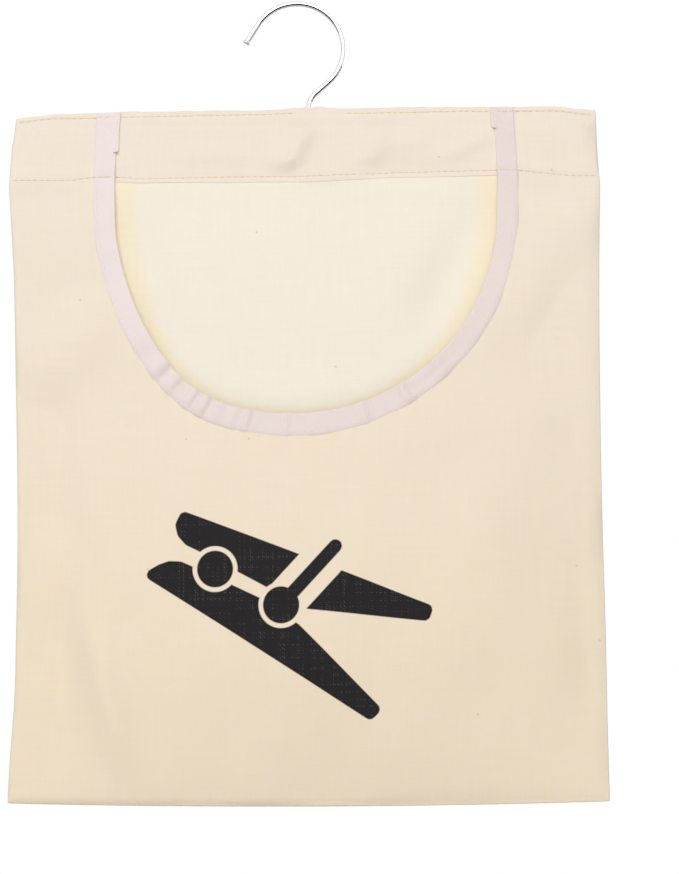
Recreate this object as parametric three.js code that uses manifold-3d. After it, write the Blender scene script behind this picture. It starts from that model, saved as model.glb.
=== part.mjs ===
// Peg bag: a cotton bag sewn round a wooden hanger bar, hung on a chrome wire hook that turns in the bar.
// Millimetres, +Z up, the mouth faces -Y. The origin is where the hook rests on a line: on the underside of the
// crown, on the axis that the hook turns about.
import * as THREE from 'three';
import { mergeVertices } from 'three/addons/utils/BufferGeometryUtils.js';
import Module from 'manifold-3d';

const wasm = await Module();
wasm.setup();

// Bag
const BAG_WIDTH = 261; // at the casing stitch and along the bottom
const TOP_WIDTH = 256.5; // along the top edge
const BAG_HEIGHT = 308;
const SIDE_DRAW_IN = 2.9; // each side, half way down the pouch
const CLOTH = 0.6;
const POUCH_BULGE = 16; // how far the pouch stands forward of its sewn top
const POUCH_SAG = 1.6; // 1 puts the fullest part half way down, more puts it lower
const EDGE_ROUND = 6; // how far in from a seam the front turns back to it
const SEAM_WIDTH = 7; // overlocked allowance, turned in
const SEAM_CLEARANCE = 0.8;

// Mouth
const MOUTH_RADIUS = 89; // to the middle of the tape
const MOUTH_DROP = 54; // top edge to the centre of the round part
const TAPE_WIDTH = 9.5;
const TAPE = 0.5;
const TAPE_STITCH_INSET = 1.5; // from the tape's sewn edge

// Hanger sleeve
const CASING_HEIGHT = 33; // top edge to the strip's folded lower edge
const CASING_HEM = 2; // folded edge to the stitch above it
const TOP_STITCH_INSET = 3;
const SEWN_FLAT = 1; // cloth stays flat this far on the bar's side of a stitch
const SLEEVE_RISE = 4.5; // height over which the sleeve opens below the top stitch
const SLEEVE_FALL = 5; // height over which it closes above the casing stitch
const POUCH_RISE = 10; // height over which the back leaves the casing stitch
const STEM_GAP_LEFT = 5.5; // the top stitch stops this far each side of the stem
const STEM_GAP_RIGHT = 18;
const STEM_SPREAD = 4; // half width of the cloth parted by the stem
const THREAD = 0.5;

// Bar and hook
const BAR_THICKNESS = 6.5;
const BAR_CORNER = 5;
const BAR_EDGE = 1.2;
const BAR_END_CLEARANCE = 0.8;
const WIRE = 2.4;
const CROWN_RADIUS = 20.6; // to the middle of the wire
const CROWN_OFFSET = 5.2; // crown centre to the left of the stem
const TIP_ANGLE = 148; // degrees round the crown where the straight tip starts
const TIP_LENGTH = 9.9;
const TIP_BALL = 3.6;
const NECK_ANGLE = -48; // degrees round the crown where the neck leaves it
const NECK_RADIUS = 9;
const STEM_SHOWN = 0.2; // straight stem above the top edge
const STEM_CLEARANCE = 0.3;
const HEAD_DIAMETER = 4.8;
const HEAD_HEIGHT = 1.5;
const WASHER_DIAMETER = 6;
const WASHER = 0.7;

const FIT = 0.3; // between pieces that touch

// Facets
const WIRE_SIDES = 10;
const ROUND_SIDES = 20;
const THREAD_SIDES = 5;
const CROWN_STEPS = 44;
const BEND_STEPS = 8;
const MOUTH_STEPS = 44;
const POUCH_ROWS = 16;
const PANEL_COLUMNS = 16;
const SLOPE_STEPS = 5;
const THREAD_PITCH = 12;

// Worked out from the sizes above
const radians = THREE.MathUtils.degToRad;
const wireR = WIRE / 2;
const threadR = THREAD / 2;
const crownZ = -Math.sqrt((CROWN_RADIUS - wireR) ** 2 - CROWN_OFFSET ** 2);
const neckStart = crownPoint(radians(NECK_ANGLE));
const neckTurn = -radians(NECK_ANGLE);
const neckDrop = (neckStart.x - NECK_RADIUS * (1 - Math.cos(neckTurn))) / Math.tan(neckTurn);
const stemZ = neckStart.z - neckDrop - NECK_RADIUS * Math.sin(neckTurn);
const topZ = stemZ - STEM_SHOWN;
const casingStitch = CASING_HEIGHT - CASING_HEM;
const ridgeEnd = TOP_STITCH_INSET + SEWN_FLAT;
const sleeveEnd = casingStitch - SEWN_FLAT - SLEEVE_FALL;
const barTop = ridgeEnd + SLEEVE_RISE + FIT;
const headEnd = sleeveEnd - FIT;
const headTop = headEnd - HEAD_HEIGHT;
const washerTop = headTop - FIT - WASHER;
const barHeight = washerTop - FIT - barTop;
const barLength = TOP_WIDTH - 2 * (EDGE_ROUND + BAR_END_CLEARANCE);
const stripHalf = TOP_WIDTH / 2 - EDGE_ROUND - FIT;
const tapeInner = MOUTH_RADIUS - TAPE_WIDTH / 2;
const tapeOuter = tapeInner + TAPE_WIDTH;

// Cloth layers where they are sewn together, from the strip's middle at y = 0, and how far the bar parts them
const stripBackSewn = CLOTH / 2;
const backInnerSewn = CLOTH / 2 + FIT;
const frontInnerSewn = -(CLOTH / 2 + FIT + TAPE + FIT);
const frontLift = stripBackSewn + BAR_THICKNESS / 2 + FIT;
const backLift = BAR_THICKNESS / 2 + FIT - backInnerSewn;
const stemRoom = wireR + STEM_CLEARANCE;

function crownPoint(angle) {
  return new THREE.Vector3(
    CROWN_RADIUS * Math.cos(angle) - CROWN_OFFSET, 0, CROWN_RADIUS * Math.sin(angle) + crownZ);
}

const smooth = (t) => THREE.MathUtils.smoothstep(t, 0, 1);
const steps = (from, to, count) => Array.from({ length: count }, (_, i) => from + ((to - from) * i) / count);

// Shape of the hanging cloth. Depth is the distance below the top edge.

function halfWidth(depth) {
  if (depth < CASING_HEIGHT) {
    return THREE.MathUtils.lerp(TOP_WIDTH, BAG_WIDTH, depth / CASING_HEIGHT) / 2;
  }
  return BAG_WIDTH / 2 - SIDE_DRAW_IN * Math.sin(Math.PI * pouchShare(depth));
}

function pouchShare(depth) {
  return THREE.MathUtils.clamp((depth - CASING_HEIGHT) / (BAG_HEIGHT - CASING_HEIGHT), 0, 1);
}

// 0 along both rows of stitching, 1 over the bar
function sleeve(depth) {
  return smooth((depth - ridgeEnd) / SLEEVE_RISE) * (1 - smooth((depth - sleeveEnd) / SLEEVE_FALL));
}

// 1 at the stem in the top ridge, 0 away from it
function stemParting(x, depth) {
  return Math.exp(-((x / STEM_SPREAD) ** 4)) * (1 - smooth((depth - ridgeEnd) / SLEEVE_RISE));
}

function backInner(x, depth) {
  const lift = backLift * Math.max(sleeve(depth), smooth((depth - CASING_HEIGHT) / POUCH_RISE));
  return backInnerSewn + lift + (stemRoom - backInnerSewn) * stemParting(x, depth);
}

function stripBack(x, depth) {
  return stripBackSewn - frontLift * sleeve(depth) - (stemRoom + stripBackSewn) * stemParting(x, depth);
}

function frontInner(x, depth) {
  const across = 1 - (x / halfWidth(depth)) ** 2;
  const bulge = POUCH_BULGE * across * Math.sin(Math.PI * pouchShare(depth) ** POUCH_SAG);
  return frontInnerSewn - frontLift * sleeve(depth) - bulge;
}

// Depths where the sheets have rows: close together on the slopes of the sleeve
const sleeveRows = [
  0,
  TOP_STITCH_INSET,
  ...steps(ridgeEnd, ridgeEnd + SLEEVE_RISE, SLOPE_STEPS),
  ridgeEnd + SLEEVE_RISE,
  ...steps(sleeveEnd, casingStitch - SEWN_FLAT, SLOPE_STEPS),
  casingStitch - SEWN_FLAT,
];
const pouchRows = [
  CASING_HEIGHT,
  ...steps(CASING_HEIGHT, CASING_HEIGHT + POUCH_RISE, SLOPE_STEPS).slice(1),
  ...steps(CASING_HEIGHT + POUCH_RISE, BAG_HEIGHT - EDGE_ROUND, POUCH_ROWS),
  BAG_HEIGHT - EDGE_ROUND,
];
const edgeShares = [0.4, 0.7, 0.9, 1]; // of the rounded edge

// Solids

// Closed sheet between two grids of points, given as rows of equal length
function sheet(front, back) {
  const columns = front[0].length;
  const points = [...front.flat(), ...back.flat()];
  const size = front.length * columns;
  const index = [];
  const quad = (a, b, c, d) => index.push(a, b, c, a, c, d);
  for (let row = 0; row + 1 < front.length; row++) {
    for (let column = 0; column + 1 < columns; column++) {
      const a = row * columns + column;
      quad(a, a + columns, a + columns + 1, a + 1);
      quad(size + a, size + a + 1, size + a + columns + 1, size + a + columns);
    }
  }
  for (const a of edgeLoop(front.length, columns)) {
    quad(a.from, a.to, size + a.to, size + a.from);
  }
  const geometry = new THREE.BufferGeometry().setFromPoints(points);
  geometry.setIndex(index);
  return geometry;
}

// Pairs of neighbouring points round the border of a grid
function edgeLoop(rows, columns) {
  const top = Array.from({ length: columns }, (_, i) => i);
  const right = Array.from({ length: rows }, (_, i) => i * columns + columns - 1);
  const bottom = top.map((i) => (rows - 1) * columns + i).reverse();
  const left = right.map((i) => i - columns + 1).reverse();
  const loop = [...top.slice(1), ...right.slice(1), ...bottom.slice(1), ...left.slice(1)];
  return loop.map((to, i) => ({ from: loop.at(i - 1), to }));
}

// Closed tube of rings, each a list of points in the same order
function tubeOfRings(rings) {
  const sides = rings[0].length;
  const index = [];
  for (let ring = 0; ring + 1 < rings.length; ring++) {
    for (let side = 0; side < sides; side++) {
      const a = ring * sides + side;
      const b = ring * sides + ((side + 1) % sides);
      index.push(a, b, b + sides, a, b + sides, a + sides);
    }
  }
  const flat = rings[0].map((p) => new THREE.Vector2(p.u, p.v));
  const last = (rings.length - 1) * sides;
  for (const [a, b, c] of THREE.ShapeUtils.triangulateShape(flat, [])) {
    index.push(a, c, b, last + a, last + b, last + c);
  }
  const geometry = new THREE.BufferGeometry().setFromPoints(rings.flat().map((p) => p.at));
  geometry.setIndex(index);
  return geometry;
}

function toSolid(geometry) {
  const bare = geometry.clone();
  bare.deleteAttribute('normal');
  bare.deleteAttribute('uv');
  const merged = mergeVertices(bare, 1e-4);
  return new wasm.Manifold(new wasm.Mesh({
    numProp: 3,
    vertProperties: new Float32Array(merged.attributes.position.array),
    triVerts: new Uint32Array(merged.index.array),
  }));
}

function toGeometry(solid) {
  const mesh = solid.getMesh();
  const geometry = new THREE.BufferGeometry();
  geometry.setAttribute('position', new THREE.BufferAttribute(new Float32Array(mesh.vertProperties), 3));
  geometry.setIndex(new THREE.BufferAttribute(new Uint32Array(mesh.triVerts), 1));
  return geometry;
}

const cut = (body, ...tools) =>
  toGeometry(tools.reduce((solid, tool) => solid.subtract(toSolid(tool)), toSolid(body)));
const join = (body, ...more) =>
  toGeometry(more.reduce((solid, piece) => solid.add(toSolid(piece)), toSolid(body)));

// Line through points, with a ring of the tube on each of them
class StitchLine extends THREE.Curve {
  constructor(points) {
    super();
    this.points = points;
  }

  getPointAt(share) {
    return this.points[Math.round(share * (this.points.length - 1))].clone();
  }

  getTangentAt(share) {
    const here = Math.round(share * (this.points.length - 1));
    const before = this.points[Math.max(here - 1, 0)];
    const after = this.points[Math.min(here + 1, this.points.length - 1)];
    const into = this.points[here].clone().sub(before).normalize();
    return after.clone().sub(this.points[here]).normalize().add(into).normalize();
  }
}

function wireSection(radius, sides) {
  const corners = Array.from({ length: sides }, (_, i) => (2 * Math.PI * i) / sides);
  return new THREE.Shape(corners.map((a) => new THREE.Vector2(radius * Math.cos(a), radius * Math.sin(a))));
}

function tube(points, radius, sides) {
  return new THREE.ExtrudeGeometry(wireSection(radius, sides), {
    extrudePath: new StitchLine(points), steps: points.length - 1, bevelEnabled: false });
}

// Cloth

const at = (x, y, depth) => new THREE.Vector3(x, y, topZ - depth);

// Front panel, pillowed, with its edges turned back to the back panel and the mouth cut out
function frontPanel() {
  const middle = [...steps(-1, 1, PANEL_COLUMNS), 1].map((across) => ({ across, edge: 0 }));
  const right = edgeShares.map((edge) => ({ across: 1, edge }));
  const left = edgeShares.map((edge) => ({ across: -1, edge: -edge })).reverse();
  const columns = [...left, ...middle, ...right];
  const rows = [
    ...[...sleeveRows, ...pouchRows].map((depth) => ({ depth, edge: 0 })),
    ...edgeShares.map((edge) => ({ depth: BAG_HEIGHT - EDGE_ROUND, edge })),
  ];
  const wall = (thickness) => rows.map((row) => columns.map((column) => {
    const turn = EDGE_ROUND - CLOTH + thickness;
    const depth = row.depth + turn * row.edge;
    const x = column.across * (halfWidth(depth) - EDGE_ROUND) + column.edge * turn;
    const round = Math.max(Math.abs(column.edge), row.edge);
    const closed = 1 - Math.sqrt(1 - round ** 2);
    const open = frontInner(x, depth) - thickness;
    return at(x, THREE.MathUtils.lerp(open, backInner(x, depth) - FIT, closed), depth);
  }));
  return cut(sheet(wall(CLOTH), wall(0)), mouthCutter());
}

// U-shaped block that cuts the mouth, past the top edge and both faces of the front panel
function mouthCutter() {
  const edge = tapeInner + TAPE + FIT;
  const outline = new THREE.Shape()
    .moveTo(-edge, MOUTH_DROP)
    .lineTo(-edge, -MOUTH_DROP)
    .absarc(0, -MOUTH_DROP, edge, Math.PI, 2 * Math.PI)
    .lineTo(edge, MOUTH_DROP);
  const reach = POUCH_BULGE + BAR_THICKNESS;
  return new THREE.ExtrudeGeometry(outline, {
    depth: 2 * reach, bevelEnabled: false, curveSegments: MOUTH_STEPS / 2 })
    .rotateX(Math.PI / 2).translate(0, reach, topZ);
}

// Columns close together round the stem
function columnsRoundStem(half) {
  const close = [0.3, 0.7, 1, 1.5].map((share) => share * STEM_SPREAD);
  const far = steps(half, close.at(-1), PANEL_COLUMNS / 4);
  return [...far.map((x) => -x), ...close.map((x) => -x).reverse(), 0, ...close, ...far.reverse()];
}

function backPanel() {
  const rows = [...sleeveRows, ...pouchRows.filter((_, i) => i < SLOPE_STEPS || i % 2 === 0), BAG_HEIGHT];
  const wall = (thickness) => rows.map((depth) =>
    columnsRoundStem(halfWidth(depth)).map((x) => at(x, backInner(x, depth) + thickness, depth)));
  return sheet(wall(0), wall(CLOTH));
}

function casingStrip() {
  const rows = [...sleeveRows, CASING_HEIGHT];
  const wall = (thickness) => rows.map((depth) =>
    columnsRoundStem(stripHalf).map((x) => at(x, stripBack(x, depth) - thickness, depth)));
  return sheet(wall(CLOTH), wall(0));
}

// Along the mouth, from the top left round to the top right: the place at a given reach from the mouth's middle
function mouthLine() {
  const legs = [...sleeveRows, CASING_HEIGHT, ...pouchRows.filter((d) => d > CASING_HEIGHT && d < MOUTH_DROP)];
  const left = legs.map((depth) => ({ depth, across: -1, down: 0 }));
  const right = legs.map((depth) => ({ depth, across: 1, down: 0 })).reverse();
  const round = [...steps(Math.PI, 2 * Math.PI, MOUTH_STEPS), 2 * Math.PI].map((angle) => ({
    depth: MOUTH_DROP, across: Math.cos(angle), down: -Math.sin(angle) }));
  return [...left, ...round, ...right].map(({ depth, across, down }) => (reach) => ({
    x: across * reach, depth: depth + down * reach }));
}

// Tape folded over the cut edge: a channel that follows the front panel
function mouthBinding() {
  const frontFace = (place) => frontInner(place.x, place.depth) - CLOTH - FIT;
  const backFace = (place) => frontInner(place.x, place.depth) + FIT;
  const section = [
    [tapeOuter, frontFace, 0], [tapeInner + TAPE, frontFace, 0],
    [tapeInner + TAPE, backFace, 0], [tapeOuter, backFace, 0],
    [tapeOuter, backFace, TAPE], [tapeInner, backFace, TAPE],
    [tapeInner, frontFace, -TAPE], [tapeOuter, frontFace, -TAPE],
  ];
  return tubeOfRings(mouthLine().map((placeAt) => section.map(([reach, face, thickness]) => {
    const place = placeAt(reach);
    const y = face(place) + thickness;
    return { at: at(place.x, y, place.depth), u: reach, v: y };
  })));
}

// Sewing

const threadOn = (y) => y - FIT - threadR;
const frontOuterSewn = frontInnerSewn - CLOTH;
const tapeFrontSewn = frontOuterSewn - FIT - TAPE;

// Points of a straight row from one x to another, over the steps at the tape's two edges
function rowPoints(from, to, depth) {
  const climb = 3 * THREAD;
  const lift = 2 * THREAD;
  const level = (x) => {
    if (Math.abs(x) > tapeOuter + lift) return threadOn(frontOuterSewn);
    if (Math.abs(x) < tapeInner - lift) return threadOn(stripBack(x, depth) - CLOTH);
    return threadOn(tapeFrontSewn);
  };
  const edges = [tapeInner - climb, tapeInner - lift, tapeOuter + lift, tapeOuter + climb];
  const stops = [...edges, ...edges.map((x) => -x)].filter((x) => x > from && x < to);
  const plain = steps(from, to, Math.round((to - from) / THREAD_PITCH))
    .filter((x) => stops.every((stop) => Math.abs(stop - x) > climb));
  return [...plain, ...stops, to].sort((a, b) => a - b).map((x) => at(x, level(x), depth));
}

const stitchRow = (from, to, depth) => tube(rowPoints(from, to, depth), threadR, THREAD_SIDES);

function bindingStitch() {
  const reach = tapeOuter - TAPE_STITCH_INSET;
  const points = mouthLine().map((placeAt) => placeAt(reach))
    .filter((place) => place.depth > CASING_HEIGHT)
    .map((place) => at(place.x, threadOn(frontInner(place.x, place.depth) - CLOTH - FIT - TAPE), place.depth));
  return tube(points, threadR, THREAD_SIDES);
}

// Strip of two cloth layers lying on the inside of the back panel, from pairs of places on its two long edges
function seamStrip(places) {
  const y = backInnerSewn + backLift - FIT;
  const wall = (thickness) => places.map((pair) => pair.map(([x, depth]) => at(x, y - thickness, depth)));
  return sheet(wall(2 * CLOTH), wall(0));
}

function sideSeam(side) {
  const inset = CLOTH + SEAM_CLEARANCE;
  const end = BAG_HEIGHT - inset - SEAM_WIDTH - FIT;
  const depths = [...steps(CASING_HEIGHT + POUCH_RISE, end, POUCH_ROWS), end];
  return seamStrip(depths.map((depth) => {
    const outer = side * (halfWidth(depth) - inset);
    const inner = outer - side * SEAM_WIDTH;
    return [[Math.min(outer, inner), depth], [Math.max(outer, inner), depth]];
  }));
}

function bottomSeam() {
  const end = BAG_HEIGHT - CLOTH - SEAM_CLEARANCE;
  const half = BAG_WIDTH / 2 - EDGE_ROUND;
  return seamStrip([end - SEAM_WIDTH, end].map((depth) => [[-half, depth], [half, depth]]));
}

// Bar and hook

function hangerBar() {
  const width = barLength / 2 - BAR_EDGE;
  const height = barHeight / 2 - BAR_EDGE;
  const corner = BAR_CORNER - BAR_EDGE;
  const outline = new THREE.Shape()
    .absarc(width - corner, height - corner, corner, 0, Math.PI / 2)
    .absarc(corner - width, height - corner, corner, Math.PI / 2, Math.PI)
    .absarc(corner - width, corner - height, corner, Math.PI, 1.5 * Math.PI)
    .absarc(width - corner, corner - height, corner, 1.5 * Math.PI, 2 * Math.PI);
  const slat = new THREE.ExtrudeGeometry(outline, {
    depth: BAR_THICKNESS - 2 * BAR_EDGE, bevelThickness: BAR_EDGE, bevelSize: BAR_EDGE, bevelSegments: 3,
    curveSegments: 4 })
    .translate(0, 0, BAR_EDGE - BAR_THICKNESS / 2)
    .rotateX(Math.PI / 2).translate(0, 0, topZ - barTop - barHeight / 2);
  const hole = new THREE.CylinderGeometry(stemRoom, stemRoom, 2 * barHeight, ROUND_SIDES)
    .rotateX(Math.PI / 2).translate(0, 0, topZ - barTop - barHeight / 2);
  return cut(slat, hole);
}

function hookWasher() {
  const outer = WASHER_DIAMETER / 2;
  const profile = [[stemRoom, 0], [outer, 0], [outer, WASHER], [stemRoom, WASHER], [stemRoom, 0]];
  return new THREE.LatheGeometry(profile.map(([r, h]) => new THREE.Vector2(r, h)), ROUND_SIDES)
    .rotateX(Math.PI / 2).translate(0, 0, topZ - washerTop - WASHER);
}

// Middle of the wire, from the tip over the crown and down the stem
function hookLine() {
  const tipStart = crownPoint(radians(TIP_ANGLE));
  const tipWay = new THREE.Vector3(-Math.sin(radians(TIP_ANGLE)), 0, Math.cos(radians(TIP_ANGLE)));
  const tip = tipStart.clone().addScaledVector(tipWay, TIP_LENGTH);
  const crown = [...steps(radians(TIP_ANGLE), radians(NECK_ANGLE), CROWN_STEPS), radians(NECK_ANGLE)];
  const bend = [...steps(neckTurn, 0, BEND_STEPS), 0].map((turn) => new THREE.Vector3(
    NECK_RADIUS * (1 - Math.cos(turn)), 0, stemZ + NECK_RADIUS * Math.sin(turn)));
  const stemEnd = new THREE.Vector3(0, 0, topZ - headTop - HEAD_HEIGHT / 2);
  return [tip, ...crown.map(crownPoint), ...bend, stemEnd];
}

function hook() {
  const line = hookLine();
  const ball = new THREE.SphereGeometry(TIP_BALL / 2, ROUND_SIDES / 2, ROUND_SIDES / 2)
    .translate(...line[0].toArray());
  const rim = HEAD_DIAMETER / 2;
  const dome = new THREE.SplineCurve([[rim, 0.4], [0.8 * rim, 0.8], [0, 1]].map(([r, share]) =>
    new THREE.Vector2(r, share * HEAD_HEIGHT))).getPoints(4);
  const head = new THREE.LatheGeometry([new THREE.Vector2(0, 0), new THREE.Vector2(rim, 0), ...dome], ROUND_SIDES)
    .rotateX(-Math.PI / 2).translate(0, 0, topZ - headTop);
  return join(tube(line, wireR, WIRE_SIDES), ball, head);
}

// Assembly

const finish = (color, roughness, metalness = 0) => () =>
  new THREE.MeshStandardMaterial({ color, roughness, metalness });
const cotton = finish(0xf3e4cf, 0.9);
const tape = finish(0xece1de, 0.85);
const sewing = finish(0xe9d3bd, 0.7);
const chrome = finish(0xd2d4d6, 0.12, 1);
const steel = finish(0xb4b6b8, 0.35, 1);
const beech = finish(0xd9b98c, 0.6);

function piece(name, geometry, material) {
  const mesh = new THREE.Mesh(geometry, material());
  mesh.name = name;
  return mesh;
}

const rowEnd = TOP_WIDTH / 2 - EDGE_ROUND - SEWN_FLAT;

const swivel = new THREE.Group();
swivel.add(piece('hook', hook(), chrome));

const hanger = new THREE.Group();
hanger.add(
  piece('hanger_bar', hangerBar(), beech),
  piece('hook_washer', hookWasher(), steel));

const bag = new THREE.Group();
bag.add(
  piece('back_panel', backPanel(), cotton),
  piece('casing_strip', casingStrip(), cotton),
  piece('front_panel', frontPanel(), cotton),
  piece('mouth_binding', mouthBinding(), tape),
  piece('top_stitch_left', stitchRow(-rowEnd, -STEM_GAP_LEFT, TOP_STITCH_INSET), sewing),
  piece('top_stitch_right', stitchRow(STEM_GAP_RIGHT, rowEnd, TOP_STITCH_INSET), sewing),
  piece('casing_stitch', stitchRow(-rowEnd, rowEnd, casingStitch), sewing),
  piece('binding_stitch', bindingStitch(), sewing),
  piece('left_side_seam', sideSeam(-1), cotton),
  piece('right_side_seam', sideSeam(1), cotton),
  piece('bottom_seam', bottomSeam(), cotton));

const pegBag = new THREE.Group();
pegBag.add(swivel, hanger, bag);

export default pegBag;
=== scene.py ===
"""Peg bag: cream cotton sewn round a wooden hanger bar, hung on a chrome hook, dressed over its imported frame.

Lengths are in millimetres until a mesh is finished. A place on the cut cloth is x, across from the middle,
and depth, down from the top edge.
"""

import logging
import math
from dataclasses import dataclass, field
from enum import Enum
from functools import cache
from typing import Any, Callable, ClassVar, Iterable, Sequence

import bmesh
import bpy
import numpy as np
from mathutils import Matrix, Vector


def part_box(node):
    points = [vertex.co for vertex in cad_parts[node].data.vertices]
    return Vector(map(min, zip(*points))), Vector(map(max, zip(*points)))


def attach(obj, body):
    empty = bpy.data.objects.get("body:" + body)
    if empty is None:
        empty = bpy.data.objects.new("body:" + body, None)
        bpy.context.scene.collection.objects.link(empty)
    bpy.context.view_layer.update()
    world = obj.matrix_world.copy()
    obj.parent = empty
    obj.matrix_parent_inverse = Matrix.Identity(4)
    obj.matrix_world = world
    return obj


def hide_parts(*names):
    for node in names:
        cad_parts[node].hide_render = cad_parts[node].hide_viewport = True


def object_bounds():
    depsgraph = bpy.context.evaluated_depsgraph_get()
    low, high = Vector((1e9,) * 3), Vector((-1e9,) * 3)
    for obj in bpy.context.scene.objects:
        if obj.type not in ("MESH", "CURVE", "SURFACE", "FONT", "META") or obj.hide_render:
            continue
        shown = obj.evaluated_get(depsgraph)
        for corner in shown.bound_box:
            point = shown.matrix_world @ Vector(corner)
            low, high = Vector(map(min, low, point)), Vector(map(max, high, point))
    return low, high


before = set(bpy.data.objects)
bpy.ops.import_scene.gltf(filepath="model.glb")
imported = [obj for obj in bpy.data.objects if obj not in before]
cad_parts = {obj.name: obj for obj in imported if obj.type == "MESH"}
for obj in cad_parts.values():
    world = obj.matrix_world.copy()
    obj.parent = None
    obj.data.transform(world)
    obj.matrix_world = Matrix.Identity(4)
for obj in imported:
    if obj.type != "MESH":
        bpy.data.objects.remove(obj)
CAD_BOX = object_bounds()
LOG = logging.getLogger("peg_bag")
MM = 0.001
CLOTH_UV = "cut_cloth"
ONE_BAND = math.tau / 20  # scale at which a wave texture has one band per unit
Array = np.ndarray
Ring = list[Any]


class Body(Enum):
    """The two bodies of the frame."""

    HOOK = "hook"
    BAG = "bag"


class Slot(Enum):
    """The record's material slots."""

    COTTON = "cotton"
    TAPE = "tape"
    THREAD = "thread"
    CHROME = "chrome"


# Small helpers


def smooth(share: Array | float) -> Array:
    """Ease from 0 to 1 as share goes from 0 to 1, level beyond both."""
    t = np.clip(share, 0.0, 1.0)
    return t * t * (3.0 - 2.0 * t)


def slope(share: Array | float, corner: float = 0.25) -> Array:
    """Go from 0 to 1 on a straight slope with rounded ends, level beyond both.

    Args:
        share: Share of the way.
        corner: Share of the way that each rounded end takes.

    Returns:
        Values from 0 to 1.
    """
    t = np.clip(share, 0.0, 1.0)
    steep = 1 / (1 - corner)
    near, far = steep * t**2 / (2 * corner), 1 - steep * (1 - t) ** 2 / (2 * corner)
    return np.where(t < corner, near, np.where(t > 1 - corner, far, steep * (t - corner / 2)))


def hump(offset: Array | float) -> Array:
    """Bell of height 1 at offset 0."""
    return np.exp(-np.square(offset))


def linear(hex_colour: str) -> tuple[float, float, float, float]:
    """Turn an sRGB hex colour into linear red, green, blue and alpha.

    Args:
        hex_colour: Colour such as "#F4E6D2".

    Returns:
        The linear colour with an alpha of 1.
    """
    parts = [int(hex_colour[i : i + 2], 16) / 255 for i in (1, 3, 5)]
    red, green, blue = (c / 12.92 if c <= 0.04045 else ((c + 0.055) / 1.055) ** 2.4 for c in parts)
    return red, green, blue, 1.0


def add_node(
    tree: bpy.types.NodeTree,
    kind: str,
    settings: dict[str, Any] | None = None,
    inputs: dict[str | int, Any] | None = None,
) -> bpy.types.Node:
    """Add a node with its settings and links.

    Args:
        tree: Node tree that gets the node.
        kind: Blender's name for the kind of node.
        settings: Attributes to set on the node.
        inputs: Values or output sockets for its input sockets.

    Returns:
        The new node.
    """
    node = tree.nodes.new(kind)
    for name, value in (settings or {}).items():
        setattr(node, name, value)
    for socket, value in (inputs or {}).items():
        if isinstance(value, bpy.types.NodeSocket):
            tree.links.new(value, node.inputs[socket])
        else:
            node.inputs[socket].default_value = value
    return node


def new_material(name: str) -> tuple[bpy.types.Material, bpy.types.NodeTree]:
    """Make an empty node material.

    Args:
        name: Name of the material.

    Returns:
        The material and its cleared node tree.
    """
    material = bpy.data.materials.new(name)
    material.use_nodes = True
    material.node_tree.nodes.clear()
    return material, material.node_tree


def close_material(tree: bpy.types.NodeTree, shader: bpy.types.Node) -> None:
    """Link a shader to the material's output."""
    add_node(tree, "ShaderNodeOutputMaterial", inputs={"Surface": shader.outputs[0]})


# Finishes


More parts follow.
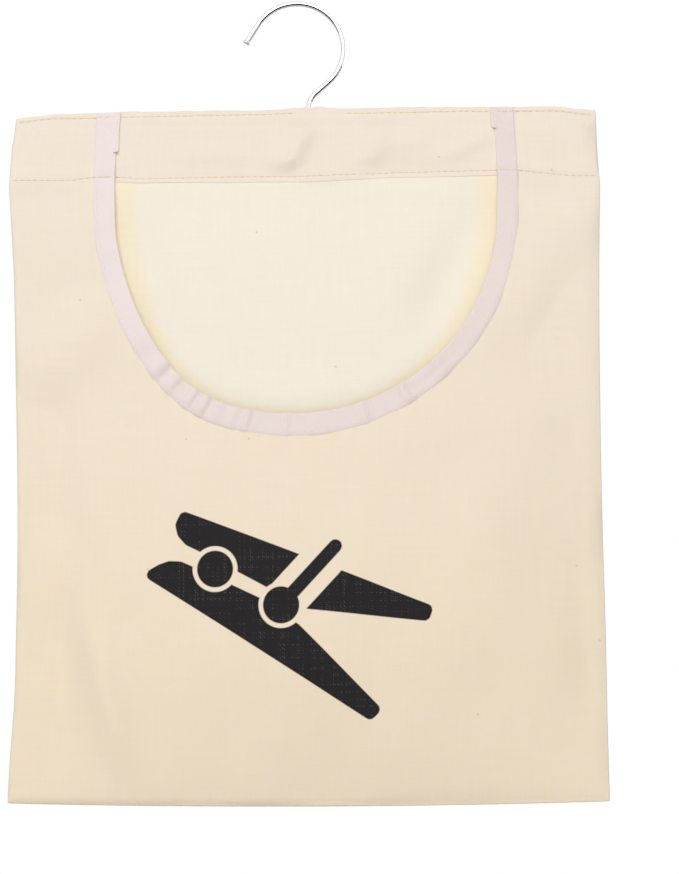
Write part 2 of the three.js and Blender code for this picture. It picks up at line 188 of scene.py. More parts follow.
@dataclass(frozen=True)
class WovenCotton:
    """Unbleached cotton, plain woven: matt, a faint grid of yarns, slubs and a few brown seed flecks, with
    painted shade and light blended into its colour.
    """

    name: str
    colour: str
    painted_low_colour: str  # towards the bottom of the bag: painted shade, and lighter on the back panel's inside, where it is painted light
    slub_tint: str = "#FEFDFB"
    fleck_colour: str = "#D9C09C"
    painted_rim_light_colour: str | None = None  # painted light: a warm glow, as if through the front cloth, in the shade inside the mouth's rim
    ink_colour: str | None = None
    yarn: float = 0.9  # the real yarns are 0.4 apart, too fine to show, so they are drawn coarser
    turned: float = 0.0  # degrees between the yarns and the cut
    slub_length: float = 26.0
    fleck_spacing: float = 30.0
    fleck_size: float = 0.6
    fleck_luck: float = 0.72  # share of the cells that have none
    slub_height: float = 0.25  # against the yarns' height
    coil_gap: float = 2.0
    arm_gap: float = 6.3
    ink_edge: float = 0.22
    glow: float = 0.6  # share of the light that goes into the thin cloth, some of it out on the other side
    painted_low_span: tuple[float, float] = (0.0, 260.0)  # where the cloth goes from its first colour to its painted lower one
    painted_low_axis: str = "Y"  # down the cut cloth, or X along a tape
    rough: tuple[float, float] = (0.82, 0.96)

    @cache
    def material(self) -> bpy.types.Material:
        """Build the cloth's node material.

        Returns:
            The material, on the cut cloth's own UV map.
        """
        material, tree = new_material(self.name)
        place = add_node(tree, "ShaderNodeUVMap", {"uv_map": CLOTH_UV}).outputs["UV"]
        per_yarn = 1 / (self.yarn * MM)
        yarns = add_node(tree, "ShaderNodeMapping", inputs={
            "Vector": place, "Rotation": (0, 0, math.radians(self.turned)),
            "Scale": (per_yarn,) * 3}).outputs[0]
        weave = self.weave(tree, yarns)
        slubs = self.slubs(tree, yarns)
        # Painted shade towards the bottom of the bag or along the tape, and painted light where the lower
        # colour is lighter
        down = add_node(tree, "ShaderNodeSeparateXYZ", inputs={"Vector": place}).outputs[self.painted_low_axis]
        low = add_node(tree, "ShaderNodeMapRange", {"interpolation_type": "SMOOTHSTEP"}, {
            "Value": down, "From Min": self.painted_low_span[0] * MM, "From Max": self.painted_low_span[1] * MM}).outputs[0]
        ground = add_node(tree, "ShaderNodeMix", {"data_type": "RGBA"}, {
            "Factor": low, "A": linear(self.colour), "B": linear(self.painted_low_colour)}).outputs["Result"]
        # Painted warm light in the shade along the inside of the mouth's rim, from the back panel's attribute
        if self.painted_rim_light_colour:
            shaded = add_node(
                tree, "ShaderNodeAttribute", {"attribute_name": BackPanel.PAINTED_RIM_LIGHT}).outputs["Fac"]
            ground = add_node(tree, "ShaderNodeMix", {"data_type": "RGBA"}, {
                "Factor": shaded, "A": ground, "B": linear(self.painted_rim_light_colour)}).outputs["Result"]
        tint = add_node(tree, "ShaderNodeMix", {"data_type": "RGBA", "blend_type": "MULTIPLY"}, {
            "Factor": slubs, "A": ground, "B": linear(self.slub_tint)}).outputs["Result"]
        colour = add_node(tree, "ShaderNodeMix", {"data_type": "RGBA"}, {
            "Factor": self.flecks(tree, place), "A": tint, "B": linear(self.fleck_colour)}).outputs["Result"]
        if self.ink_colour:
            colour = add_node(tree, "ShaderNodeMix", {"data_type": "RGBA"}, {
                "Factor": self.ink(tree, weave, slubs), "A": colour,
                "B": linear(self.ink_colour)}).outputs["Result"]
        height = add_node(tree, "ShaderNodeMath", {"operation": "MULTIPLY_ADD"}, {
            0: slubs, 1: self.slub_height, 2: weave}).outputs[0]
        bump = add_node(tree, "ShaderNodeBump", inputs={
            "Strength": 0.16, "Distance": 0.1 * MM, "Height": height}).outputs[0]
        rough = add_node(tree, "ShaderNodeMapRange", inputs={
            "Value": weave, "To Min": self.rough[1], "To Max": self.rough[0]}).outputs[0]
        shader = add_node(tree, "ShaderNodeBsdfPrincipled", inputs={
            "Base Color": colour, "Roughness": rough, "Normal": bump, "IOR": 1.5, "Specular IOR Level": 0.25,
            "Subsurface Weight": self.glow, "Subsurface Radius": (1.0, 0.9, 0.65),
            "Subsurface Scale": 0.5 * MM, "Sheen Weight": 0.04, "Sheen Roughness": 0.5})
        close_material(tree, shader)
        return material

    def weave(self, tree: bpy.types.NodeTree, yarns: bpy.types.NodeSocket) -> bpy.types.NodeSocket:
        """Height of yarns that pass over and under each other.

        Args:
            tree: Node tree of the material.
            yarns: Coordinates counted in yarns.

        Returns:
            Socket of the height, 0 between yarns and 1 on top of them.
        """
        band = {"Vector": yarns, "Scale": ONE_BAND, "Phase Offset": -math.pi / 2}
        warp, weft = (
            add_node(tree, "ShaderNodeTexWave", {
                "bands_direction": way, "wave_profile": "SIN"}, band).outputs["Fac"]
            for way in "XY")
        over = add_node(tree, "ShaderNodeTexChecker", inputs={"Vector": yarns, "Scale": 1.0}).outputs["Fac"]
        return add_node(tree, "ShaderNodeMix", {"data_type": "FLOAT"}, {
            "Factor": over, "A": warp, "B": weft}).outputs["Result"]

    def slubs(self, tree: bpy.types.NodeTree, yarns: bpy.types.NodeSocket) -> bpy.types.NodeSocket:
        """Thicker and thinner stretches of single yarns, both ways.

        Args:
            tree: Node tree of the material.
            yarns: Coordinates counted in yarns.

        Returns:
            Socket of the share of slub.
        """
        along = self.yarn / self.slub_length
        both = []
        for scale in ((1, along, 1), (along, 1, 1)):
            run = add_node(tree, "ShaderNodeMapping", inputs={"Vector": yarns, "Scale": scale}).outputs[0]
            both.append(add_node(tree, "ShaderNodeTexNoise", {"noise_dimensions": "2D"}, {
                "Vector": run, "Scale": 0.8, "Detail": 1.0}).outputs["Fac"])
        thick = add_node(tree, "ShaderNodeMath", {"operation": "MULTIPLY"}, dict(enumerate(both))).outputs[0]
        return add_node(tree, "ShaderNodeMapRange", inputs={
            "Value": thick, "From Min": 0.12, "From Max": 0.42}).outputs[0]

    def flecks(self, tree: bpy.types.NodeTree, place: bpy.types.NodeSocket) -> bpy.types.NodeSocket:
        """Bits of cotton seed, one in some cells of a loose grid.

        Args:
            tree: Node tree of the material.
            place: Place on the cut cloth.

        Returns:
            Socket of the share of fleck.
        """
        cells = add_node(tree, "ShaderNodeTexVoronoi", {"voronoi_dimensions": "2D"}, {
            "Vector": place, "Scale": 1 / (self.fleck_spacing * MM)})
        radius = self.fleck_size / self.fleck_spacing / 2
        near = add_node(tree, "ShaderNodeMapRange", inputs={
            "Value": cells.outputs["Distance"], "From Min": radius, "From Max": 2 * radius,
            "To Min": 0.75, "To Max": 0.0}).outputs[0]
        lucky = add_node(tree, "ShaderNodeMath", {"operation": "GREATER_THAN"}, {
            0: cells.outputs["Color"], 1: self.fleck_luck}).outputs[0]
        return add_node(tree, "ShaderNodeMath", {"operation": "MULTIPLY"}, {0: near, 1: lucky}).outputs[0]

    def ink(
        self, tree: bpy.types.NodeTree, weave: bpy.types.NodeSocket, slubs: bpy.types.NodeSocket
    ) -> bpy.types.NodeSocket:
        """Screen-printed peg figure, thinner on top of slubbed yarns.

        Args:
            tree: Node tree of the material.
            weave: Height of the yarns.
            slubs: Share of slub.

        Returns:
            Socket of the share of ink.
        """
        outline, *springs = (
            add_node(tree, "ShaderNodeAttribute", {"attribute_name": name}).outputs["Fac"]
            for name in (PegFigure.LEGS, PegFigure.COIL, PegFigure.ARM))
        for spring, gap in zip(springs, (self.coil_gap, self.arm_gap)):
            clear = add_node(tree, "ShaderNodeMath", {"operation": "SUBTRACT"}, {0: gap, 1: spring})
            outline = add_node(tree, "ShaderNodeMath", {"operation": "MAXIMUM"}, {
                0: outline, 1: clear.outputs[0]}).outputs[0]
        for spring in springs:
            outline = add_node(tree, "ShaderNodeMath", {"operation": "MINIMUM"}, {
                0: outline, 1: spring}).outputs[0]
        share = add_node(tree, "ShaderNodeMapRange", inputs={
            "Value": outline, "From Min": -self.ink_edge, "From Max": self.ink_edge,
            "To Min": 1.0, "To Max": 0.0}).outputs[0]
        missed = add_node(tree, "ShaderNodeMath", {"operation": "MULTIPLY"}, {0: weave, 1: slubs}).outputs[0]
        kept = add_node(tree, "ShaderNodeMapRange", inputs={
            "Value": missed, "From Min": 0.6, "From Max": 1.0, "To Min": 1.0, "To Max": 0.93}).outputs[0]
        return add_node(tree, "ShaderNodeMath", {"operation": "MULTIPLY"}, {0: share, 1: kept}).outputs[0]


@dataclass(frozen=True)
class SewingThread:
    """Spun polyester sewing thread: two plies twisted together, a slight gloss along the twist."""

    name: str
    colour: str
    dark: str
    twist: float = 0.7  # real twist is 0.4, too fine to show

    @cache
    def material(self) -> bpy.types.Material:
        """Build the thread's node material.

        Returns:
            The material, on Object coordinates.
        """
        material, tree = new_material(self.name)
        place = add_node(tree, "ShaderNodeTexCoord").outputs["Object"]
        ply = add_node(tree, "ShaderNodeTexWave", {"bands_direction": "DIAGONAL"}, {
            "Vector": place, "Scale": ONE_BAND / (self.twist * MM), "Distortion": 0.6}).outputs["Fac"]
        colour = add_node(tree, "ShaderNodeMix", {"data_type": "RGBA"}, {
            "Factor": ply, "A": linear(self.dark), "B": linear(self.colour)}).outputs["Result"]
        bump = add_node(tree, "ShaderNodeBump", inputs={
            "Strength": 0.5, "Distance": 0.1 * MM, "Height": ply}).outputs[0]
        rough = add_node(tree, "ShaderNodeMapRange", inputs={
            "Value": ply, "To Min": 0.75, "To Max": 0.55}).outputs[0]
        close_material(tree, add_node(tree, "ShaderNodeBsdfPrincipled", inputs={
            "Base Color": colour, "Roughness": rough, "Normal": bump, "Specular IOR Level": 0.35}))
        return material


@dataclass(frozen=True)
class PlatedWire:
    """Plated steel wire or sheet: bright metal with faint drawing lines and handling marks."""

    name: str
    colour: str
    rough: tuple[float, float]
    mark: float = 3.0  # size of the handling marks

    @cache
    def material(self) -> bpy.types.Material:
        """Build the metal's node material.

        Returns:
            The material, on Object coordinates.
        """
        material, tree = new_material(self.name)
        place = add_node(tree, "ShaderNodeTexCoord").outputs["Object"]
        marks = add_node(tree, "ShaderNodeTexNoise", inputs={
            "Vector": place, "Scale": 1 / (self.mark * MM), "Detail": 4.0, "Roughness": 0.7}).outputs["Fac"]
        rough = add_node(tree, "ShaderNodeMapRange", inputs={
            "Value": marks, "From Min": 0.3, "From Max": 0.7,
            "To Min": self.rough[0], "To Max": self.rough[1]}).outputs[0]
        bump = add_node(tree, "ShaderNodeBump", inputs={
            "Strength": 0.05, "Distance": 0.02 * MM, "Height": marks}).outputs[0]
        close_material(tree, add_node(tree, "ShaderNodeBsdfPrincipled", inputs={
            "Base Color": linear(self.colour), "Metallic": 1.0, "Roughness": rough, "Normal": bump}))
        return material


@dataclass(frozen=True)
class PlanedBeech:
    """Planed and sanded beech: pale straight grain along the bar with short dark rays, no varnish."""

    name: str = "planed_beech"
    early: str = "#DDBF95"
    late: str = "#C49B6B"
    ray_colour: str = "#A67C50"
    grain: float = 2.2
    ray: float = 0.6
    # Stretch along the bar, and the levels of noise where each starts and is full
    grain_noise: tuple[float, float, float] = (0.03, 0.35, 0.65)
    ray_noise: tuple[float, float, float] = (0.12, 0.62, 0.7)

    @cache
    def material(self) -> bpy.types.Material:
        """Build the wood's node material.

        Returns:
            The material, on Object coordinates.
        """
        material, tree = new_material(self.name)
        place = add_node(tree, "ShaderNodeTexCoord").outputs["Object"]
        shares = []
        for width, (stretch, low, high) in ((self.grain, self.grain_noise), (self.ray, self.ray_noise)):
            run = add_node(tree, "ShaderNodeMapping", inputs={
                "Vector": place, "Scale": (stretch, 1, 1)}).outputs[0]
            noise = add_node(tree, "ShaderNodeTexNoise", inputs={
                "Vector": run, "Scale": 1 / (width * MM), "Detail": 3.0}).outputs["Fac"]
            shares.append(add_node(tree, "ShaderNodeMapRange", inputs={
                "Value": noise, "From Min": low, "From Max": high}).outputs[0])
        grain, rays = shares
        colour = add_node(tree, "ShaderNodeMix", {"data_type": "RGBA"}, {
            "Factor": grain, "A": linear(self.early), "B": linear(self.late)}).outputs["Result"]
        colour = add_node(tree, "ShaderNodeMix", {"data_type": "RGBA"}, {
            "Factor": rays, "A": colour, "B": linear(self.ray_colour)}).outputs["Result"]
        bump = add_node(tree, "ShaderNodeBump", inputs={
            "Strength": 0.2, "Distance": 0.1 * MM, "Height": grain}).outputs[0]
        close_material(tree, add_node(tree, "ShaderNodeBsdfPrincipled", inputs={
            "Base Color": colour, "Roughness": 0.65, "Normal": bump}))
        return material


# Each cloth's lower colour, towards the bottom of the bag, is painted shade; the strip's is the same as its
# first
FRONT_COTTON = WovenCotton("unbleached_cotton", "#F5E8DB", "#F4E5CE")
INNER_COTTON = WovenCotton("unbleached_cotton_inside", "#F7E7C6", "#F7E6C2")
PRINTED_COTTON = WovenCotton("printed_cotton", "#F4E7D8", "#F3E4CE", ink_colour="#232123")
CASING_COTTON = WovenCotton("unbleached_cotton_strip", "#F2E5D6", "#F2E5D6", glow=0.0)
# Inside of the back panel: lighter towards the mouth's bottom, painted light against the shade there, with a
# warm painted light along the inside of the mouth's rim
BACK_COTTON = WovenCotton(
    "back_cotton_painted_light", "#F3ECDF", "#F9F3E6", glow=0.35, painted_low_span=(105.0, 140.0), painted_rim_light_colour="#F5EAD2")
# The tape darkens from partway down its left leg round the mouth's bottom and up its right leg: painted shade
BIAS_TAPE = WovenCotton(
    "bias_cut_cotton_tape", "#F3E5E2", "#EDDED9", slub_tint="#FEFDFD", fleck_colour="#E6D9D5", yarn=0.8,
    turned=45.0, slub_length=9.0, glow=0.25, painted_low_span=(60.0, 170.0), painted_low_axis="X")
ROW_THREAD = SewingThread("sewing_thread", "#F2DDC5", "#E5CAAE")
TAPE_THREAD = SewingThread("tape_sewing_thread", "#F4EBE8", "#E8DEDB")
TACK_THREAD = SewingThread("tacking_thread", "#C9B59E", "#A8937C")
CHROME = PlatedWire("chrome_plated_wire", "#DADCDE", (0.02, 0.06))
ZINC = PlatedWire("zinc_plated_steel", "#B9BCC0", (0.3, 0.45), mark=1.2)
BEECH = PlanedBeech()


# Meshes


def finish_piece(
    bm: bmesh.types.BMesh, name: str, materials: Sequence[bpy.types.Material], body: Body, slot: Slot
) -> bpy.types.Object:
    """Turn a bmesh in millimetres into a smooth-shaded piece in metres that rides on a body.

    Args:
        bm: Finished bmesh, which is freed.
        name: Name of the piece.
        materials: Its material slots.
        body: Body that it rides on.
        slot: Not used.

    Returns:
        The new object.
    """
    bmesh.ops.scale(bm, vec=(MM, MM, MM), verts=bm.verts)
    for face in bm.faces:
        face.smooth = True
    mesh = bpy.data.meshes.new(name)
    bm.to_mesh(mesh)
    bm.free()
    for material in materials:
        mesh.materials.append(material)
    piece = bpy.data.objects.new(name, mesh)
    bpy.context.scene.collection.objects.link(piece)
    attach(piece, body.value)
    return piece


def thicken(piece: bpy.types.Object, thickness: float, inner_material: int = 0) -> None:
    """Give a sheet its thickness behind the face that was built.

    Args:
        piece: Sheet object.
        thickness: Thickness in millimetres.
        inner_material: How many material slots further on the inner face takes its material.
    """
    solidify = piece.modifiers.new("thickness", "SOLIDIFY")
    solidify.thickness = thickness * MM
    solidify.offset = -1.0
    solidify.use_even_offset = True
    solidify.material_offset = inner_material


def cloth_grid(
    columns: Array, rows: Array, place: Callable[[Array, Array], Array]
) -> tuple[bmesh.types.BMesh, Array, Array]:
    """Lay a grid of cloth on a surface, with the cut place of each point as its UV.

    Args:
        columns: First coordinate of each column of points.
        rows: Second coordinate of each row, in the order that makes the faces point forwards.
        place: Gives the points of the surface for both coordinates.

    Returns:
        The bmesh and the two coordinates of each of its points.
    """
    bm = bmesh.new()
    bmesh.ops.create_grid(bm, x_segments=len(columns) - 1, y_segments=len(rows) - 1, size=1.0)
    flat = np.array([v.co[:2] for v in bm.verts])
    column = np.rint((flat[:, 0] + 1) / 2 * (len(columns) - 1)).astype(int)
    row = np.rint((flat[:, 1] + 1) / 2 * (len(rows) - 1)).astype(int)
    x, depth = columns[column], rows[row]
    for vert, point in zip(bm.verts, place(x, depth)):
        vert.co = point
    uv = bm.loops.layers.uv.new(CLOTH_UV)
    bm.verts.index_update()
    for face in bm.faces:
        for loop in face.loops:
            i = loop.vert.index
            loop[uv].uv = (x[i] * MM, depth[i] * MM)
    return bm, x, depth


# Shape of the cloth


@dataclass(frozen=True)
class Fold:
    """Soft fold along a straight line on the cut cloth, from start to end."""

    start: tuple[float, float]
    end: tuple[float, float]
    width: float
    height: float
    lee: float | None = None  # width on the right-hand side, where it differs
    run_out: float = 0.4  # share of its length over which it grows from nothing at each end

    def rise(self, x: Array, depth: Array) -> Array:
        """Height of the fold.

        Args:
            x: Places across.
            depth: Places down.

        Returns:
            How far the cloth stands forward there.
        """
        run_x, run_d = self.end[0] - self.start[0], self.end[1] - self.start[1]
        length = math.hypot(run_x, run_d)
        along = ((x - self.start[0]) * run_x + (depth - self.start[1]) * run_d) / length**2
        off = ((x - self.start[0]) * run_d - (depth - self.start[1]) * run_x) / length
        width = np.where(off > 0, self.lee or self.width, self.width)
        ends = smooth(along / self.run_out) * smooth((1 - along) / self.run_out)
        return self.height * hump(off / width) * ends


def rise_of(folds: Iterable[Fold], x: Array, depth: Array) -> Array:
    """Sum of several folds' heights."""
    return sum((fold.rise(x, depth) for fold in folds), np.zeros_like(x))


@dataclass(frozen=True)
class Swell:
    """Bell-shaped rise along one coordinate."""

    at: float
    width: float
    height: float

    def rise(self, place: Array) -> Array:
        """Height at a place."""
        return self.height * hump((place - self.at) / self.width)


@dataclass(frozen=True)
class Stretch:
    """Rise along a stretch of one coordinate, eased in from its start and out from its end."""

    height: float
    start: float = -math.inf
    ease_in: float = 1.0
    end: float = math.inf
    ease_out: float = 1.0

    def rise(self, place: Array) -> Array:
        """Height at a place."""
        begun, ended = smooth((place - self.start) / self.ease_in), smooth((place - self.end) / self.ease_out)
        return self.height * begun * (1 - ended)


@dataclass(frozen=True)
class Wave:
    """Even wave along one coordinate. Its length is that of one radian."""

    height: float
    length: float
    phase: float = 0.0

    def rise(self, place: Array) -> Array:
        """Height at a place."""
        return self.height * np.sin(place / self.length + self.phase)


def total(parts: Iterable[Swell | Stretch | Wave], place: Array) -> Array:
    """Sum of several rises along one coordinate."""
    return sum(part.rise(place) for part in parts)


def ripple(x: Array, depth: Array, length: float) -> Array:
    """Loose unevenness of pressed cloth, from a few waves that cross at odd angles.

    Args:
        x: Places across.
        depth: Places down.
        length: Typical distance between crests.

    Returns:
        Heights from about -1 to 1.
    """
    # Turns across, turns down and phase of each wave, and the height of all of them together
    waves = ((1.0, 0.31, 0.4), (-0.42, 0.93, 2.1), (0.71, -0.63, 4.4), (0.13, 1.27, 1.3), (1.31, 0.57, 5.2))
    tallest = 3.2
    turn = math.tau / length
    return sum(np.sin(turn * (a * x + b * depth) + phase) for a, b, phase in waves) / tallest


@dataclass(frozen=True)
class Droop:
    """How unevenly the cloth hangs: rises along x, each with the depths that it reaches down to."""

    half: float  # half the bag's width
    lean_slope: float = 0.0116
    lean_drop: float = 0.2
    left_shoulder: Stretch = Stretch(-0.8, end=-110, ease_out=35)
    lean_down: Stretch = Stretch(1.0, end=60, ease_out=180)
    stem_lift: Swell = Swell(3, 9, 0.6)
    stem_down: Stretch = Stretch(1.0, end=0, ease_out=10)
    top_slack: tuple[Swell | Stretch, ...] = (Stretch(-0.55, -118, 14, -20, 14), Swell(92, 16, -0.45))
    top_down: Stretch = Stretch(1.0, end=0, ease_out=16)
    corner_drop: float = 2.2
    corner_width: float = 26.0
    corner_power: float = 1.5
    corner_down: Stretch = Stretch(1.0, end=0, ease_out=20)
    row_hang: tuple[Stretch, ...] = (
        Stretch(-1.1, -84, 14, -5, 32), Stretch(0.5, 25, 20, 88, 14), Stretch(-1.1, end=-104, ease_out=12),
        Stretch(-2.2, 92, 30))
    row_down: Swell = Swell(32, 14, 1.0)
    bottom_ends: float = 1.8  # how much higher the bottom's ends hang than its middle
    bottom_drop: float = 1.0
    bottom_slope: float = 0.0035
    bottom_down: Stretch = Stretch(1.0, 180, 128)
    sway: tuple[Swell | Stretch, ...] = (
        Stretch(0.8, end=0, ease_out=18), Stretch(-2.05, end=30, ease_out=140), Swell(225, 55, 0.95))
    left_edge: tuple[Swell, ...] = (Swell(72, 38, 1.05), Swell(262, 22, 0.7))
    right_edge: Stretch = Stretch(0.4, 25, 20)
    edge_from: float = 0.68  # share of the half width past which an edge hangs by itself

    def lean(self, x: Array) -> Array:
        """How far the top hangs above its level place: the left shoulder droops."""
        return self.lean_slope * x - self.lean_drop + self.left_shoulder.rise(x)

    def up(self, x: Array, depth: Array) -> Array:
        """Height of the cloth above its level place.

        Args:
            x: Places across.
            depth: Places down.

        Returns:
            Height in millimetres, with rounded top corners and a bottom that sags.
        """
        corner = -self.corner_drop * smooth(
            (np.abs(x) - self.half + self.corner_width) / self.corner_width) ** self.corner_power
        bottom = self.bottom_ends * (x / self.half) ** 2 - self.bottom_drop + self.bottom_slope * x
        parts = (
            (self.lean(x), self.lean_down), (self.stem_lift.rise(x), self.stem_down),
            (corner, self.corner_down), (total(self.top_slack, x), self.top_down),
            (total(self.row_hang, x), self.row_down), (bottom, self.bottom_down))
        return sum(height * down.rise(depth) for height, down in parts)

    def aside(self, x: Array, depth: Array) -> Array:
        """How far the cloth hangs to the right of its level place.

        Args:
            x: Places across.
            depth: Places down.

        Returns:
            Distances in millimetres.
        """
        left, right = (
            smooth((way * x / self.half - self.edge_from) / (1 - self.edge_from)) for way in (-1, 1))
        edges = total(self.left_edge, depth) * left + self.right_edge.rise(depth) * right
        return total(self.sway, depth) + edges


@dataclass
class HangingCloth:
    """Shape of the cloth as it hangs on the bar. Sizes come from the frame, the slack from the photograph."""

    # Outline and thickness
    half_top: float = 128.25  # half the width along the top edge
    draw_in: float = 2.9  # of each side, half-way down the pouch
    sag: float = 2.0  # power that puts the pouch's deepest place below its middle
    edge_round: float = 2.4
    bottom_round: tuple[float, float] = (3.5, 8.0)  # on the left, and on the right, where it rolls under more
    bottom_ease: float = 90.0  # width right of the middle over which that grows
    right_round: float = 7.0  # along the right-hand side, below the casing
    bulge: float = 16.0  # how far the pouch stands forward
    cloth: float = 0.45
    tape: float = 0.3
    # Levels
    top_level: float = -1.4  # front face of the casing strip along the top row
    row_level: float = -3.8  # and along the casing row
    level_inset: float = 1.0  # how near to both rows it is level
    bottom_level: float = 1.0  # front face of the front panel along the bottom seam
    top_fold: float = 1.1  # depth over which the layers turn in to each other along the top edge
    top_edges: tuple[float, float, float] = (0.2, 0.3, 0.4)  # behind the strip's face: front, strip and back
    # Rows of points
    top_rows: tuple[float, ...] = (0.0, 0.1, 0.3, 0.6, 1.0)  # depths of the points round that turn
    even_from: float = 1.6  # depth below which the rows of points are evenly spaced
    fine_below: float = 3.0  # how far below the casing they are fine
    # Rows of stitching
    groove: float = 0.15  # how far the thread presses the layers in
    groove_width: float = 1.1
    pucker: float = 0.12
    pucker_width: float = 4.5
    row_puckers: tuple[Wave, ...] = (Wave(1.0, 1.9, 0.5), Wave(0.8, 3.3, 1.0), Wave(1.0, 7.1, -0.5))
    top_puckers: tuple[Wave, ...] = (Wave(1.0, 1.9, 1.7), Wave(0.8, 3.3, 3.4), Wave(1.0, 7.1, -1.7))
    row_slack: tuple[Wave, ...] = (Wave(0.35, 11.3, 0.4), Wave(0.35, 19.0, 2.0))  # along the casing row
    row_slack_width: float = 5.0
    row_rise: float = 0.9  # rows of stitching are this much nearer the edges than in the frame
    row_clear: tuple[float, float] = (0.6, 0.3)  # from the top row and the casing row, where layers part
    # Round the bar and the stem
    bar_clear: tuple[float, float] = (1.2, 0.3)  # below the bar's top and bottom, where they lie on it
    bar_gap: float = 0.15
    past_bar: Stretch = Stretch(0.9, 0.5, 4.5)  # share by which they close past the bar's ends
    stem_room: float = 1.5  # between the stem's axis and the layers
    stem_spread: float = 4.0  # half the width of the parting
    stem_power: int = 4  # how square it is
    stem_run: float = 6.0  # depth over which the layers close below the stem's hole
    # Between the layers
    hemmed: Stretch = Stretch(1.0, -8, 6)  # where the strip is double, from the casing row down
    front_gaps: tuple[float, float] = (0.6, 1.2)  # strip's face to the front's, where it is single and double
    back_gaps: tuple[float, float] = (0.5, 0.42)  # strip's face to the back panel's inner face
    layers: float = 1.2  # front face to back panel, at least, at the casing's end
    seam_room: float = 2.35  # and below it, with the seam allowances between them
    free_run: float = 20.0  # depth over which the front panel comes free below the casing
    # Slack
    loose_top: Stretch = Stretch(1.0, 1, 6)  # where the strip is loose, from the top row down
    loose_end: Stretch = Stretch(1.0, end=-7, ease_out=7)  # and from the casing row down
    strip_slack: tuple[float, float] = (0.14, 34.0)  # height and length of its ripples
    front_slack: tuple[float, float] = (0.7, 62.0)
    back_slack: Stretch = Stretch(0.35, 6, 30)  # height of the back panel's ripples, from the casing down
    back_ripple: float = 120.0
    hem_press: Stretch = Stretch(0.2, -0.9, 1.1, 2, 12)  # where the back panel comes forward below the hem
    seam_press: float = 0.6  # how far the seams draw it forward
    seam_power: int = 3  # how close to them
    gather_share: float = 0.4  # of the tape's gathers that goes on into the front panel
    gather_run: float = 5.0  # distance over which they run out there
    # Mouth: how far its edge hangs outside its even curve, by degrees round it from the right
    mouth_edge: tuple[Swell, ...] = (
        Swell(122, 19, 4.1), Swell(58, 30, -1.9), Swell(166, 16, -1.4), Swell(-4, 9, 1.5))
    # Gathers where the tape was eased round the curve, by degrees round the mouth from the right
    ridges: tuple[Swell, ...] = (
        Swell(146.0, 3.0, 0.8), Swell(136.5, 1.7, 1.9), Swell(131.0, 1.5, 2.1), Swell(124.4, 1.2, 2.0),
        Swell(120.4, 1.3, 1.8), Swell(116.2, 1.6, 1.3), Swell(111.2, 1.2, 0.7), Swell(107.6, 1.0, 1.1),
        Swell(96.2, 1.0, 0.8), Swell(73.6, 1.2, 0.9), Swell(60.1, 1.3, 1.3), Swell(46.5, 2.0, 0.9))
    # Folds
    front_folds: tuple[Fold, ...] = (
        Fold((-80, 78), (-130, 134), 15, 4.0),
        Fold((-114, 116), (-110, 218), 9, -2.8),
        Fold((-103, 210), (-76, 308), 8, 4.6),
        Fold((-112, 190), (-106, 314), 7, -2.8),
        Fold((-92, 150), (-84, 236), 13, 2.6),
        Fold((132, 30), (80, 116), 17, 3.2),
        Fold((126, 56), (98, 140), 14, -2.2),
        Fold((118, 160), (123, 306), 8, -1.2),
        Fold((70, 150), (96, 250), 16, 1.8),
    )
    strip_folds: tuple[Fold, ...] = (
        Fold((5, 3), (-14, 38), 9.0, 3.0, lee=4.5),
        Fold((36, 2), (26, 36), 9.0, 1.4, lee=5.0),
        Fold((-64, 19), (-20, 21), 4.5, 0.8),
        Fold((22, 21), (62, 13), 4.5, 1.0),
        Fold((56, 26), (88, 11), 4.0, 1.2),
    )
    back_folds: tuple[Fold, ...] = (
        Fold((-80, 36), (-54, 122), 10, -2.5),
        Fold((84, 34), (44, 116), 11, -2.7),
    )
    # From the frame
    droop: Droop = field(init=False)
    top: float = field(init=False)
    height: float = field(init=False)
    half: float = field(init=False)
    back_out: float = field(init=False)
    casing: float = field(init=False)
    casing_row: float = field(init=False)
    top_row: float = field(init=False)
    bar_top: float = field(init=False)
    bar_bottom: float = field(init=False)
    bar_end: float = field(init=False)
    bar_half: float = field(init=False)
    mouth_out: float = field(init=False)
    mouth_drop: float = field(init=False)

    def __post_init__(self) -> None:
        """Read the sizes that the frame gives."""
        boxes = {name: [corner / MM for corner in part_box(name)] for name in (
            "back_panel", "front_panel", "casing_strip", "casing_stitch", "top_stitch_left", "hanger_bar",
            "mouth_binding")}
        back, front, bar = boxes["back_panel"], boxes["front_panel"], boxes["hanger_bar"]
        self.top = back[1].z
        self.height = self.top - front[0].z
        self.half = back[1].x
        self.droop = Droop(self.half)
        self.back_out = back[1].y
        self.casing = self.top - boxes["casing_strip"][0].z - self.row_rise / 2
        self.casing_row, self.top_row = (
            self.top - (boxes[row][0].z + boxes[row][1].z) / 2 - self.row_rise
            for row in ("casing_stitch", "top_stitch_left"))
        self.bar_top, self.bar_bottom = self.top - bar[1].z, self.top - bar[0].z
        self.bar_end, self.bar_half = bar[1].x, bar[1].y
        self.mouth_out = boxes["mouth_binding"][1].x
        self.mouth_drop = self.top - boxes["mouth_binding"][0].z - self.mouth_out

    def depths(self, end: float, cell: float, row_cell: float) -> Array:
        """Depths of a panel's rows of points, closer together down to the casing's end.

        Args:
            end: Depth of the last row.
            cell: Distance between rows in the pouch.
            row_cell: Distance between rows in the casing.

        Returns:
            The depths.
        """
        fine_end = self.casing + self.fine_below
        return np.concatenate([
            self.top_rows, np.linspace(self.even_from, fine_end, round(fine_end / row_cell), endpoint=False),
            np.linspace(fine_end, end, round((end - fine_end) / cell))])

